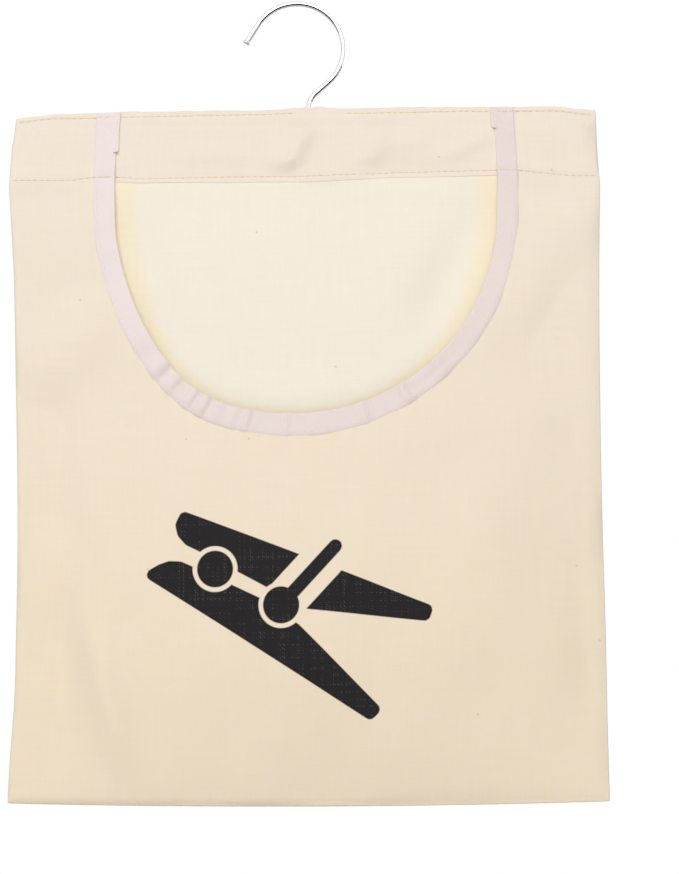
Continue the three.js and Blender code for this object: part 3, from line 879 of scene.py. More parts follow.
    def half_width(self, depth: Array) -> Array:
        """Half the bag's width.

        Args:
            depth: Places down.

        Returns:
            Widths, wider down to the casing's end and drawn in half-way down the pouch.
        """
        upper = self.half_top + (self.half - self.half_top) * depth / self.casing
        share = self.pouch_share(depth)
        return np.where(depth < self.casing, upper, self.half - self.draw_in * np.sin(math.pi * share))

    def pouch_share(self, depth: Array) -> Array:
        """Share of the way from the casing to the bottom."""
        return np.clip((depth - self.casing) / (self.height - self.casing), 0, 1)

    def place(self, x: Array, depth: Array, y: Array) -> Array:
        """Points in the frame for places on the cut cloth.

        Args:
            x: Places across.
            depth: Places down.
            y: How far back they are.

        Returns:
            One row of three coordinates per place.
        """
        across = x / self.half * self.half_width(depth) + self.droop.aside(x, depth)
        return np.stack([across, y, self.top - depth + self.droop.up(x, depth)], axis=-1)

    def sleeve(self, x: Array, depth: Array) -> Array:
        """Share by which the bar parts the layers.

        Args:
            x: Places across.
            depth: Places down.

        Returns:
            Shares, 0 along both rows of stitching and 1 over the bar.
        """
        lean = self.droop.lean(x)
        across = np.abs(x * self.half_width(depth) / self.half + total(self.droop.sway, depth))
        ends = 1 - self.past_bar.rise(across - self.bar_end)
        start, full = self.top_row + self.row_clear[0], self.bar_top + self.bar_clear[0] + lean
        fall, end = self.bar_bottom + self.bar_clear[1] + lean, self.casing_row - self.row_clear[1]
        return ends * slope((depth - start) / (full - start)) * (1 - slope((depth - fall) / (end - fall)))

    def strip_level(self, depth: Array) -> Array:
        """Front face of the casing strip where nothing parts the layers.

        Args:
            depth: Places down.

        Returns:
            How far back it is.
        """
        start = self.top_row + self.level_inset
        run = self.casing_row - self.level_inset - start
        return self.top_level + (self.row_level - self.top_level) * smooth((depth - start) / run)

    def layer_gap(self, depth: Array, gaps: tuple[float, float]) -> Array:
        """Distance between two layers' faces, which changes where the strip is hemmed.

        Args:
            depth: Places down.
            gaps: Distances where the strip is single and where it is double.

        Returns:
            Distances in millimetres.
        """
        return gaps[0] + (gaps[1] - gaps[0]) * self.hemmed.rise(depth - self.casing_row)

    def over_bar(self, x: Array, depth: Array) -> Array:
        """Front face of the casing strip, smooth, over the bar and between the rows."""
        level = self.strip_level(depth)
        return level - (self.bar_half + self.bar_gap + self.cloth + level) * self.sleeve(x, depth)

    def turned_in(self, x: Array, depth: Array, y: Array, edge: float) -> Array:
        """Turn a layer in along the top edge, apart from the hole for the stem.

        Args:
            x: Places across.
            depth: Places down.
            y: How far back the layer is.
            edge: How far back its edge ends behind the strip's face.

        Returns:
            How far back the turned layer is.
        """
        near = np.clip(1 - depth / self.top_fold, 0, 1)
        turn = (1 - np.sqrt(1 - near**2)) * (1 - self.parting(x, depth))
        return y + (self.top_level + edge - y) * turn

    def parting(self, x: Array, depth: Array) -> Array:
        """Share by which the stem parts the top edge."""
        across = np.exp(-((x / self.stem_spread) ** self.stem_power))
        return across * (1 - smooth((depth - self.top_row) / self.stem_run))

    def edge_share(self, x: Array, depth: Array, side: Array | float, bottom: Array | float) -> Array:
        """Share of the way round the edges, 1 along the seams.

        Args:
            x: Places across.
            depth: Places down.
            side: Width of the rounding along the sides.
            bottom: Width of the rounding along the bottom.

        Returns:
            Shares, 0 inside.
        """
        beside, below = (np.abs(x) - self.half) / side, (depth - self.height) / bottom
        return np.clip(1 + np.maximum(beside, below), 0, 1)

    def rows(self, x: Array, depth: Array, groove: float) -> Array:
        """How far both rows of stitching draw a layer back.

        Args:
            x: Places across.
            depth: Places down.
            groove: How far the thread presses the layer in.

        Returns:
            Distances backwards, with puckers that all the layers share.
        """
        back = np.zeros_like(x)
        for row, puckers in ((self.casing_row, self.row_puckers), (self.top_row, self.top_puckers)):
            off = depth - row
            drawn = self.pucker * total(puckers, x) * hump(off / self.pucker_width)
            back = back + groove * hump(off / self.groove_width) - drawn
        return back - total(self.row_slack, x) * hump((depth - self.casing_row) / self.row_slack_width)

    def back_inner(self, x: Array, depth: Array) -> Array:
        """Inner face of the back panel.

        Args:
            x: Places across.
            depth: Places down.

        Returns:
            How far back it is.
        """
        below = depth - self.casing
        sewn = self.strip_level(depth) + self.layer_gap(depth, self.back_gaps)
        apart = np.maximum(self.sleeve(x, depth), self.pouch_share(depth))
        flat = sewn + (self.back_out - self.cloth - sewn) * apart
        stem = (self.stem_room - sewn) * self.parting(x, depth)
        slack = self.back_slack.rise(below) * (ripple(x, depth, self.back_ripple) - 1)
        folds = rise_of(self.back_folds, x, depth) + self.hem_press.rise(below)
        seam = self.edge_share(x, depth, self.edge_round, self.edge_round) ** self.seam_power
        y = flat + stem + slack - folds + self.rows(x, depth, 0.0) - self.seam_press * seam
        return self.turned_in(x, depth, y, self.top_edges[2])

    def strip_front(self, x: Array, depth: Array) -> Array:
        """Front face of the casing strip.

        Args:
            x: Places across.
            depth: Places down.

        Returns:
            How far back it is.
        """
        height, length = self.strip_slack
        loose = self.loose_top.rise(depth - self.top_row) * self.loose_end.rise(depth - self.casing_row)
        folds = (rise_of(self.strip_folds, x, depth) + height * (1 + ripple(x, depth, length))) * loose
        stem = (self.stem_room + self.cloth / 2 + self.strip_level(depth)) * self.parting(x, depth)
        y = self.over_bar(x, depth) - stem - folds + self.rows(x, depth, self.groove)
        return self.turned_in(x, depth, y, self.top_edges[1])

    def front_outer(self, x: Array, depth: Array) -> Array:
        """Outer face of the front panel, turned back to the back panel along its seams.

        Args:
            x: Places across.
            depth: Places down.

        Returns:
            How far back it is.
        """
        height, length = self.front_slack
        flat = self.over_bar(x, depth) - self.layer_gap(depth, self.front_gaps)
        share = self.pouch_share(depth)
        hang = (self.bottom_level - self.row_level + self.front_gaps[1]) * share
        pouch = self.bulge * (1 - (x / self.half) ** 2) * np.sin(math.pi * share**self.sag)
        free = smooth((depth - self.casing) / self.free_run)
        folds = (rise_of(self.front_folds, x, depth) + height * ripple(x, depth, length)) * free
        y = flat + hang - pouch - folds - self.gathers(x, depth) + self.rows(x, depth, self.groove)
        back = self.back_inner(x, depth)
        room = self.layers + (self.seam_room - self.layers) * free
        y = np.where(depth > self.casing, np.minimum(y, back - room), y)
        left, right = self.bottom_round
        low_round = left + (right - left) * smooth(x / self.bottom_ease)
        side_round = self.edge_round + (self.right_round - self.edge_round) * free * (x > 0)
        round_share = self.edge_share(x, depth, side_round, low_round)
        closed = 1 - np.sqrt(1 - round_share**2)
        return self.turned_in(x, depth, y + (back - y) * closed, self.top_edges[0])

    def mouth_reach(self, x: Array, depth: Array) -> tuple[Array, Array]:
        """Measure from the mouth's middle.

        Args:
            x: Places across.
            depth: Places down.

        Returns:
            Reach of the places, as on the mouth's even curve, and their angle round it in degrees.
        """
        down = np.maximum(depth - self.mouth_drop, 0)
        angle = np.degrees(np.arctan2(down, x))
        return np.hypot(x, down) - total(self.mouth_edge, angle), angle

    def gathers(self, x: Array, depth: Array) -> Array:
        """Short pleats that run out from the mouth's tape into the front panel.

        Args:
            x: Places across.
            depth: Places down.

        Returns:
            Their heights.
        """
        reach, angle = self.mouth_reach(x, depth)
        past = np.maximum(reach - self.mouth_out, 0)
        return self.gather_share * total(self.ridges, angle) * np.exp(-past / self.gather_run)

    def on_front(self, x: Array, depth: Array, out: Array | float) -> Array:
        """Points a given distance out from the front panel's outer face.

        Args:
            x: Places across.
            depth: Places down.
            out: Distance along the face's normal, outwards.

        Returns:
            One row of three coordinates per place.
        """
        return self.off_face(lambda a, d: self.front_outer(a, np.maximum(d, self.top_fold)), x, depth, out)

    def off_face(
        self, face: Callable[[Array, Array], Array], x: Array, depth: Array, out: Array | float
    ) -> Array:
        """Points a given distance in front of a face of cloth.

        Args:
            face: Gives the face's y for places on the cut cloth.
            x: Places across.
            depth: Places down.
            out: Distance along the face's normal, forwards.

        Returns:
            One row of three coordinates per place.
        """
        step = 0.4
        points = self.place(x, depth, face(x, depth))
        right = self.place(x + step, depth, face(x + step, depth)) - self.place(
            x - step, depth, face(x - step, depth))
        up = self.place(x, depth - step, face(x, depth - step)) - self.place(
            x, depth + step, face(x, depth + step))
        normal = np.cross(right, up)
        normal /= np.linalg.norm(normal, axis=-1, keepdims=True)
        return points + normal * np.asarray(out)[..., None]


@dataclass
class PegFigure:
    """Printed pictogram of a clothes peg: two tapered legs, a notch, a coil and its arm, tilted on the cloth.

    Places are on the cut cloth, from the middle of the coil, in millimetres.
    """

    LEGS: ClassVar[str] = "peg_legs"
    COIL: ClassVar[str] = "peg_coil"
    ARM: ClassVar[str] = "peg_arm"
    coil_at: tuple[float, float] = (-12.8, 223.0)
    coil: float = 8.0
    notch_at: tuple[float, float] = (-29.2, -15.7)
    arm_to: tuple[float, float] = (24.2, -25.6)
    arm: float = 2.9
    corner: float = 2.6
    upper_leg: tuple[tuple[float, float], ...] = (
        (-42.6, -38.4), (64.1, 2.0), (63.3, 4.2), (12.0, -0.8), (-6.4, -10.6), (-36.4, -26.4), (-40.6, -28.4),
        (-43.4, -31.6), (-44.2, -35.2))
    lower_leg: tuple[tuple[float, float], ...] = (
        (-53.4, -15.4), (-49.4, -16.8), (-45.0, -16.6), (-41.4, -15.0), (-8.6, 0.2), (6.4, 10.6),
        (41.1, 44.5), (39.4, 46.2), (-56.9, -13.4))

    def distances(self, x: Array, depth: Array) -> dict[str, Array]:
        """Signed distances to the legs, to the coil with its notch and to the arm, negative inside.

        Args:
            x: Places across.
            depth: Places down.

        Returns:
            Distances by attribute name.
        """
        u, v = x - self.coil_at[0], depth - self.coil_at[1]
        upper, lower = (self.from_outline(u, v, leg) for leg in (self.upper_leg, self.lower_leg))
        legs = np.minimum(upper, lower) - self.corner
        rounds = np.minimum(np.hypot(u, v), np.hypot(u - self.notch_at[0], v - self.notch_at[1])) - self.coil
        arm = self.from_line(u, v, (0, 0), self.arm_to) - self.arm
        return {self.LEGS: legs, self.COIL: rounds, self.ARM: arm}

    @staticmethod
    def from_line(u: Array, v: Array, start: tuple[float, float], end: tuple[float, float]) -> Array:
        """Distance to a straight line between two points.

        Args:
            u: Places across.
            v: Places down.
            start: First point.
            end: Last point.

        Returns:
            The distances.
        """
        run = np.subtract(end, start)
        along = np.clip(((u - start[0]) * run[0] + (v - start[1]) * run[1]) / (run @ run), 0, 1)
        return np.hypot(u - start[0] - along * run[0], v - start[1] - along * run[1])

    @classmethod
    def from_outline(cls, u: Array, v: Array, outline: Sequence[tuple[float, float]]) -> Array:
        """Signed distance to a closed outline of straight lines.

        Args:
            u: Places across.
            v: Places down.
            outline: Corners of the outline.

        Returns:
            Distances, negative inside.
        """
        sides = list(zip(outline, (*outline[1:], outline[0])))
        edge = np.min([cls.from_line(u, v, a, b) for a, b in sides], axis=0)
        crossed = [((a[1] > v) != (b[1] > v)) & (u < a[0] + (v - a[1]) * (b[0] - a[0]) / (b[1] - a[1]))
                   for a, b in sides if a[1] != b[1]]
        return np.where(np.sum(crossed, axis=0) % 2 == 1, -edge, edge)


# Sub-assemblies


@dataclass
class FrontPanel:
    """Front of the bag: one cotton sheet with the mouth cut out and the peg printed on it."""

    shape: HangingCloth
    figure: PegFigure = field(default_factory=PegFigure)
    cell: float = 1.45
    row_cell: float = 1.0
    edge_steps: int = 9
    cut_inset: float = 3.0  # cut edge of the mouth, behind the tape's fold

    @property
    def cut(self) -> float:
        """Reach of the mouth's cut edge from its middle."""
        return self.shape.mouth_out - MouthTape.width + self.cut_inset

    def rounded_edge(self) -> Array:
        """Places in the rounded edge, from 0 where it starts to its width at the seam."""
        return self.shape.edge_round * np.sin(np.linspace(0, math.pi / 2, self.edge_steps))[1:]

    def build(self) -> bpy.types.Object:
        """Build and dress the panel.

        Returns:
            The panel.
        """
        shape = self.shape
        flat_half, flat_depth = shape.half - shape.edge_round, shape.height - shape.edge_round
        edge = self.rounded_edge()
        middle = np.linspace(-flat_half, flat_half, round(2 * flat_half / self.cell))
        columns = np.concatenate([-flat_half - edge[::-1], middle, flat_half + edge])
        rows = np.concatenate([shape.depths(flat_depth, self.cell, self.row_cell), flat_depth + edge])
        bm, x, depth = cloth_grid(
            columns, rows[::-1], lambda a, d: shape.place(a, d, shape.front_outer(a, d)))
        for name, values in self.figure.distances(x, depth).items():
            layer = bm.verts.layers.float.new(name)
            for vert, value in zip(bm.verts, values):
                vert[layer] = value
        self.cut_mouth(bm, x, depth)
        piece = finish_piece(
            bm, "front_cloth", [PRINTED_COTTON.material(), INNER_COTTON.material()], Body.BAG, Slot.COTTON)
        thicken(piece, shape.cloth, inner_material=1)
        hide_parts("front_panel")
        return piece

    def cut_mouth(self, bm: bmesh.types.BMesh, x: Array, depth: Array) -> None:
        """Cut the mouth out, and draw its edge to a smooth line.

        Args:
            bm: Panel.
            x: Places of its points across.
            depth: Places of its points down.
        """
        shape = self.shape
        down = np.maximum(depth - shape.mouth_drop, 0)
        reach, angle = shape.mouth_reach(x, depth)
        verts = list(bm.verts)
        inside = [vert for vert, r in zip(verts, reach) if r < self.cut - self.cell / 2]
        near = np.flatnonzero((reach >= self.cut - self.cell / 2) & (reach < self.cut + self.cell / 2))
        edge = (self.cut + total(shape.mouth_edge, angle[near])) / np.hypot(x[near], down[near])
        to_x = x[near] * edge
        to_depth = np.where(down[near] > 0, shape.mouth_drop + down[near] * edge, depth[near])
        for i, point in zip(near, shape.place(to_x, to_depth, shape.front_outer(to_x, to_depth))):
            verts[i].co = point
        bmesh.ops.delete(bm, geom=inside, context="VERTS")


@dataclass
class BackPanel:
    """Back of the bag: one plain cotton sheet, seen through the mouth."""

    PAINTED_RIM_LIGHT: ClassVar[str] = "shaded"
    shape: HangingCloth
    cell: float = 2.0
    row_cell: float = 1.0
    painted_rim_widths: tuple[float, float] = (4.5, 13.0)  # widths of the painted rim light inside the mouth, at its bottom and at its sides
    painted_rim_ease: float = 1.5  # how early the painted rim light is full
    painted_rim_power: int = 4  # how fast it narrows from the sides to the bottom

    def build(self) -> bpy.types.Object:
        """Build and dress the panel.

        Returns:
            The panel.
        """
        shape = self.shape
        columns = np.linspace(-shape.half, shape.half, round(2 * shape.half / self.cell))
        rows = shape.depths(shape.height, self.cell, self.row_cell)
        bm, x, depth = cloth_grid(columns, rows[::-1], lambda a, d: shape.place(a, d, shape.back_inner(a, d)))
        # Painted light: a warm band where the front cloth shades the back panel inside the mouth's rim
        reach, angle = shape.mouth_reach(x, depth)
        past_edge = reach - shape.mouth_out + MouthTape.width
        low, side = self.painted_rim_widths
        width = low + (side - low) * np.cos(np.radians(angle)) ** self.painted_rim_power
        layer = bm.verts.layers.float.new(self.PAINTED_RIM_LIGHT)
        for vert, value in zip(bm.verts, smooth(self.painted_rim_ease * (1 + past_edge / width))):
            vert[layer] = value
        piece = finish_piece(
            bm, "back_cloth", [BACK_COTTON.material(), FRONT_COTTON.material()], Body.BAG, Slot.COTTON)
        thicken(piece, shape.cloth, inner_material=1)
        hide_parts("back_panel")
        return piece


@dataclass
class CasingStrip:
    """Strip that closes the hanger sleeve in the mouth, with its lower edge folded up behind."""

    shape: HangingCloth
    cell: float = 1.4
    row_cell: float = 0.8
    hem: float = 5.0
    fold_radius: float = 0.13  # pressed flat
    fold_steps: int = 6
    end_gap: float = 1.0
    wander: tuple[Wave, ...] = (Wave(0.25, 21.0, 1.0), Wave(0.15, 8.0))  # of the folded edge
    wander_down: Stretch = Stretch(1.0, 24, 8)

    def build(self) -> bpy.types.Object:
        """Build and dress the strip.

        Returns:
            The strip.
        """
        shape = self.shape
        half = shape.half_top - shape.edge_round - self.end_gap
        columns = np.linspace(-half, half, round(2 * half / self.cell))
        face = np.concatenate([shape.top_rows, np.linspace(
            shape.even_from, shape.casing - self.fold_radius, round(shape.casing / self.row_cell))])
        fold = shape.casing + np.linspace(0, 1, self.fold_steps)[1:]
        behind = shape.casing + 1 + np.linspace(0, self.hem, round(self.hem / self.row_cell))[1:]
        rows = np.concatenate([face, fold, behind])
        bm, _, _ = cloth_grid(columns, rows[::-1], self.place)
        piece = finish_piece(bm, "casing_cloth", [CASING_COTTON.material()], Body.BAG, Slot.COTTON)
        thicken(piece, self.fold_radius)
        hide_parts("casing_strip")
        return piece

    def place(self, x: Array, row: Array) -> Array:
        """Points of the strip, its fold and the hem behind it.

        Args:
            x: Places across.
            row: Distance down the strip, past its lower edge round the fold and up behind.

        Returns:
            One row of three coordinates per place.
        """
        shape = self.shape
        turn = np.clip(row - shape.casing, 0, 1) * math.pi
        up = np.maximum(row - shape.casing - 1, 0)
        radius = self.fold_radius
        down = np.minimum(row, shape.casing - radius) - up
        y = shape.strip_front(x, down) + radius * (1 - np.cos(turn))
        wander = total(self.wander, x) * self.wander_down.rise(down)
        return shape.place(x, down + radius * np.sin(turn) + wander, y)


@dataclass
class MouthTape:
    """Bias tape folded over the mouth's cut edge, gathered a little on its curve."""

    width: ClassVar[float] = 9.5
    shape: HangingCloth
    step: float = 0.6
    end_rows: tuple[float, ...] = (0.1, 0.3)
    points: tuple[int, int, int, int] = (5, 9, 11, 7)  # across its sewn edge, front, fold and back
    bend: float = 1.0  # width on each side of the fold that goes round the cut edge
    play: float = 0.1  # between the tape and the cloth
    sheet: float = 0.8  # share of the tape's thickness that its sheet has
    edge_fold: float = 0.25  # how much the turned-in edge adds
    hem: float = 2.6
    hem_ease: tuple[float, float] = (0.8, 1.2)
    hem_kept: float = 0.5  # share of that height past the turned-in edge
    edge_ease: float = 1.3  # width over which the sewn edge comes up off the cloth
    stitch_inset: float = 1.5
    groove: float = 0.1
    groove_width: float = 0.5
    thread_level: float = 0.6  # share of the turned-in edge's height that the rows across the tape lie at
    spread: Swell = Swell(97, 35, 1.0)  # how much wider it lies round the mouth's bottom, by degrees
    leg_lean: tuple[float, float] = (-1.2, -0.9)  # how far its left and right legs lean at the top
    leg_run: float = 24.0
    # How far the folded edge stands out at the left and the right end, along the tape and across it
    flares: tuple[Stretch, Stretch] = (
        Stretch(1.4, end=18.5, ease_out=1.2), Stretch(1.6, end=9.5, ease_out=1.5))
    flare_in: Stretch = Stretch(1.0, 0.6, 0.4)
    flare_up: Stretch = Stretch(0.15, 0.5, 0.5)
    tacks: tuple[tuple[float, float], ...] = ((19.6, 2.4), (10.6, 1.7))  # distance from each end, and length
    tack_out: float = 0.25
    tack_points: int = 4
    gather_share: float = 0.7
    gather_edge: float = 0.3  # share of it at the sewn edge
    gather_ease: float = 4.0
    waves: tuple[Wave, ...] = (Wave(0.08, 3.1), Wave(0.1, 7.7, 1.0))
    calm: float = 12.0  # length at both ends over which they die down
    eased: tuple[tuple[Swell, Wave], ...] = (
        (Swell(127, 17, 0.3), Wave(1.0, 1.9)), (Swell(47, 17, 0.35), Wave(1.0, 3.4)))
    eased_run: float = 3.0
    crease: tuple[Swell, Swell] = (Swell(4.5, 1.5, -0.45), Swell(50, 9, 1.0))  # across it, and by degrees

    @property
    def length(self) -> float:
        """Length of the tape along its middle."""
        return 2 * self.shape.mouth_drop + math.pi * self.middle

    @property
    def middle(self) -> float:
        """Reach of the tape's middle from the middle of the mouth."""
        return self.shape.mouth_out - self.width / 2

    def along(self, run: Array, reach: Array) -> tuple[Array, Array, Array]:
        """Places on the cut cloth along the mouth.

        Args:
            run: Distance along the tape from its top left end.
            reach: Distance from the mouth's middle.

        Returns:
            Places across and down, and the angle round the curve in degrees.
        """
        drop = self.shape.mouth_drop
        share = np.clip((run - drop) / (math.pi * self.middle), 0, 1)
        angle = math.pi * (1 - share)
        leg = np.maximum(drop - run, 0) + np.maximum(run - drop - math.pi * self.middle, 0)
        turn = np.degrees(angle)
        reach = reach + total(self.shape.mouth_edge, turn)
        depth = drop - leg + reach * np.sin(angle)
        x = reach * np.cos(angle)
        left, right = self.leg_lean
        lean = np.where(x > 0, right, left) * (1 - smooth(depth / self.leg_run)) * (leg > 0)
        return x + lean, depth, turn

    def build(self) -> bpy.types.Object:
        """Build and dress the tape.

        Returns:
            The tape.
        """
        shape, width, bend = self.shape, self.width, self.bend
        ends, even_from = np.array(self.end_rows), self.step
        even = np.linspace(even_from, self.length - even_from, round(self.length / self.step))
        runs = np.concatenate([ends, even, self.length - ends[::-1]])
        limits = (0, bend, width - bend, width + bend, 2 * width)
        across = np.concatenate([
            np.linspace(start, end, count, endpoint=end == limits[-1])
            for start, end, count in zip(limits, limits[1:], self.points)])
        bm, _, _ = cloth_grid(runs, across, self.place)
        piece = finish_piece(bm, "mouth_tape", [BIAS_TAPE.material()], Body.BAG, Slot.TAPE)
        thicken(piece, shape.tape * self.sheet)
        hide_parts("mouth_binding")
        return piece

    def place(self, run: Array, across: Array) -> Array:
        """Points of the tape's outer face.

        Args:
            run: Distance along the tape.
            across: Distance across it, from its front sewn edge over the fold to its back sewn edge.

        Returns:
            One row of three coordinates per place.
        """
        shape, width, bend = self.shape, self.width, self.bend
        outer, inner = shape.mouth_out, shape.mouth_out - width
        front_out, back_out = shape.tape, -(shape.cloth + shape.tape + self.play)
        radius = (front_out - back_out) / 2
        turn = np.clip((across - width + bend) / (2 * bend), 0, 1) * math.pi
        bent = (across > width - bend) & (across < width + bend)
        front = across < width
        leg = np.where(front, across, 2 * width - across)
        reach = np.where(
            bent, inner + radius - radius * np.sin(turn), outer - leg * (width - radius) / (width - bend))
        share_in = np.clip((outer - reach) / width, 0, 1)
        angle = self.along(run, reach)[2]
        flare = self.flares[0].rise(run) + self.flares[1].rise(self.length - run)
        reach = reach - flare * self.flare_in.rise(share_in) + self.spread.rise(angle) * (1 - share_in)
        x, depth, _ = self.along(run, reach)
        level = np.where(
            bent, (front_out + back_out) / 2 + radius * np.cos(turn), np.where(front, front_out, back_out))
        raised = self.relief(run, leg, angle, depth) + flare * self.flare_up.rise(share_in)
        return shape.on_front(x, depth, level + np.where(front, raised, 0))

    def relief(self, run: Array, leg: Array, angle: Array, depth: Array) -> Array:
        """How far the tape's front stands off its level: turned-in edge, groove, gathers, waves and a crease.

        Args:
            run: Distance along the tape.
            leg: Distance across it from its sewn edge.
            angle: Degrees round the mouth.
            depth: Places down.

        Returns:
            Heights in millimetres.
        """
        shape = self.shape
        past_hem = (1 - self.hem_kept) * smooth((leg - self.hem) / self.hem_ease[1])
        hem = self.edge_fold * smooth(leg / self.hem_ease[0]) * (1 - past_hem)
        edge = -(shape.tape + self.play) * (1 - smooth(leg / self.edge_ease))
        groove = -self.groove * hump((leg - self.stitch_inset) / self.groove_width)
        across = self.gather_edge + (1 - self.gather_edge) * smooth(leg / self.gather_ease)
        gather = self.gather_share * total(shape.ridges, angle) * across * (depth > shape.mouth_drop)
        wave = total(self.waves, run) * smooth(np.minimum(run, self.length - run) / self.calm)
        eased = sum(swell.rise(angle) * (1 + ripples.rise(run)) for swell, ripples in self.eased)
        crease = self.crease[0].rise(leg) * self.crease[1].rise(angle)
        return hem + edge + groove + crease + gather + wave + eased * smooth(leg / self.eased_run)

    def stitch_line(self, run: Array) -> Array:
        """Points of the row that holds the tape, on its face."""
        return self.place(run, np.full_like(run, self.stitch_inset))

    def tack_lines(self) -> list[Array]:
        """Points of the short tacks where the folded edge stands out at each end.

        Returns:
            One line of points per tack.
        """
        lines = []
        from_fold, over = (1.2, 0.2), (0.2, 0.8)  # insets of its ends, and its shares out and in
        runs = (self.tacks[0][0], self.length - self.tacks[1][0])
        for run, (_, length) in zip(runs, self.tacks):
            fold = np.linspace(self.width - from_fold[0], self.width - from_fold[1], self.tack_points)
            line = self.place(np.full(self.tack_points, run), fold)
            inwards = np.sign(line[-1, 0] - line[0, 0]) * length
            line[:, 0] = np.linspace(
                line[0, 0] - inwards * over[0], line[0, 0] + inwards * over[1], self.tack_points)
            lines.append(line - [0, self.tack_out, 0])
        return lines

    def face_out(self) -> float:
        """How far the tape's face stands off the front panel."""
        return self.shape.tape + self.edge_fold * self.thread_level


@dataclass
class StitchRow:
    """Row of lockstitches: short rounded threads with their ends drawn into the cloth."""

    name: str
    finish: SewingThread
    pitch: float = 2.9
    share: float = 0.92  # of the pitch that the thread shows
    thread: float = 0.5
    sides: int = 6
    rings: int = 5

    def build(self, lines: Iterable[Array], replaced: Sequence[str]) -> bpy.types.Object:
        """Sew stitches along lines of points.

        Args:
            lines: Points that each line passes, on the face of the cloth.
            replaced: CAD nodes that the row stands for.

        Returns:
            The row.
        """
        bm = bmesh.new()
        for line in lines:
            self.sew(bm, line)
        piece = finish_piece(bm, self.name, [self.finish.material()], Body.BAG, Slot.THREAD)
        if replaced:
            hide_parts(*replaced)
        return piece

    def sew(self, bm: bmesh.types.BMesh, line: Array) -> None:
        """Add one line of stitches.

        Args:
            bm: Mesh that gets them.
            line: Points along the face of the cloth.
        """
        run = np.concatenate([[0], np.cumsum(np.linalg.norm(np.diff(line, axis=0), axis=1))])
        count = max(1, int(run[-1] / self.pitch))
        for start in (np.arange(count) + (1 - self.share) / 2) * run[-1] / count:
            ends = [Vector([np.interp(s, run, line[:, axis]) for axis in range(3)])
                    for s in (start, start + self.share * run[-1] / count)]
            self.stitch(bm, *ends)

    def stitch(self, bm: bmesh.types.BMesh, start: Vector, end: Vector) -> None:
        """Add one stitch.

        Args:
            bm: Mesh that gets it.
            start: Where its thread comes up.
            end: Where it goes down.
        """
        along = (end - start).normalized()
        back = (Vector((0, 1, 0)) - along * along.y).normalized()
        axes = Matrix((along.cross(back), back, along)).transposed().to_4x4()
        size = Matrix.Diagonal((self.thread / 2, self.thread / 2, (end - start).length / 2, 1))
        bmesh.ops.create_uvsphere(
            bm, u_segments=self.sides, v_segments=self.rings, radius=1.0,
            matrix=Matrix.Translation((start + end) / 2) @ axes @ size)


@dataclass
class Sewing:
    """All rows of stitching that show on the bag."""

    shape: HangingCloth
    tape: MouthTape
    stem_gap: tuple[float, float] = (5.5, 18.0)
    end_gap: float = 1.2
    step: float = 0.5
    wander: Wave = Wave(0.2, 17.0)
    casing_gap: float = 1.0  # between the casing and the ends of the tape's row

    def level(self, x: Array, depth: Array) -> Array:
        """Face that a straight row lies on: front panel, tape or casing strip.

        Args:
            x: Places across.
            depth: How far down the row is, once for each place.

        Returns:
            How far back the face is.
        """
        shape = self.shape
        x_left, x_right = (self.tape.along(np.array([run]), np.array([shape.mouth_out]))[0][0]
                           for run in (float(depth[0]), self.tape.length - float(depth[0])))
        front = shape.front_outer(x, depth)
        in_mouth = (x > x_left + self.tape.width) & (x < x_right - self.tape.width)
        beside = (x < x_left) | (x > x_right)
        return np.where(
            in_mouth, shape.strip_front(x, depth), np.where(beside, front, front - self.tape.face_out()))

    def straight(self, start: float, end: float, depth: float) -> Array:
        """Points of a straight row across the front.

        Args:
            start: Where it starts across.
            end: Where it ends.
            depth: How far down it is.

        Returns:
            The row's points.
        """
        x = np.arange(start, end, self.step)
        down = np.full_like(x, depth) + self.wander.rise(x)
        return self.shape.place(x, down, self.level(x, np.full_like(x, depth)))

    def behind(self, start: float, end: float, depth: float) -> Array:
        """Points of the same row on the back of the bag.

        Args:
            start: Where it starts across.
            end: Where it ends.
            depth: How far down it is.

        Returns:
            The row's points.
        """
        x = np.arange(start, end, self.step)
        down = np.full_like(x, depth)
        return self.shape.place(x, down, self.shape.back_inner(x, down) + self.shape.cloth)

    def build(self) -> list[bpy.types.Object]:
        """Sew the rows.

        Returns:
            The rows of stitches.
        """
        shape = self.shape
        end = shape.half - self.end_gap
        left, right = (-end, -self.stem_gap[0]), (self.stem_gap[1], end)
        inset = shape.casing + self.casing_gap
        around = self.tape.stitch_line(np.arange(inset, self.tape.length - inset, self.step))
        made = []
        for name, (start, stop), depth, node in (
            ("top_stitches_left", left, shape.top_row, "top_stitch_left"),
            ("top_stitches_right", right, shape.top_row, "top_stitch_right"),
            ("casing_stitches", (-end, end), shape.casing_row, "casing_stitch"),
        ):
            made.append(StitchRow(name, ROW_THREAD).build(
                [self.straight(start, stop, depth), self.behind(start, stop, depth)], [node]))
        made.append(StitchRow("tape_stitches", TAPE_THREAD, pitch=2.6, thread=0.38).build(
            [around], ["binding_stitch"]))
        made.append(StitchRow("tape_end_tacks", TACK_THREAD, pitch=9.0, share=1.0, thread=0.6).build(
            self.tape.tack_lines(), []))
        return made


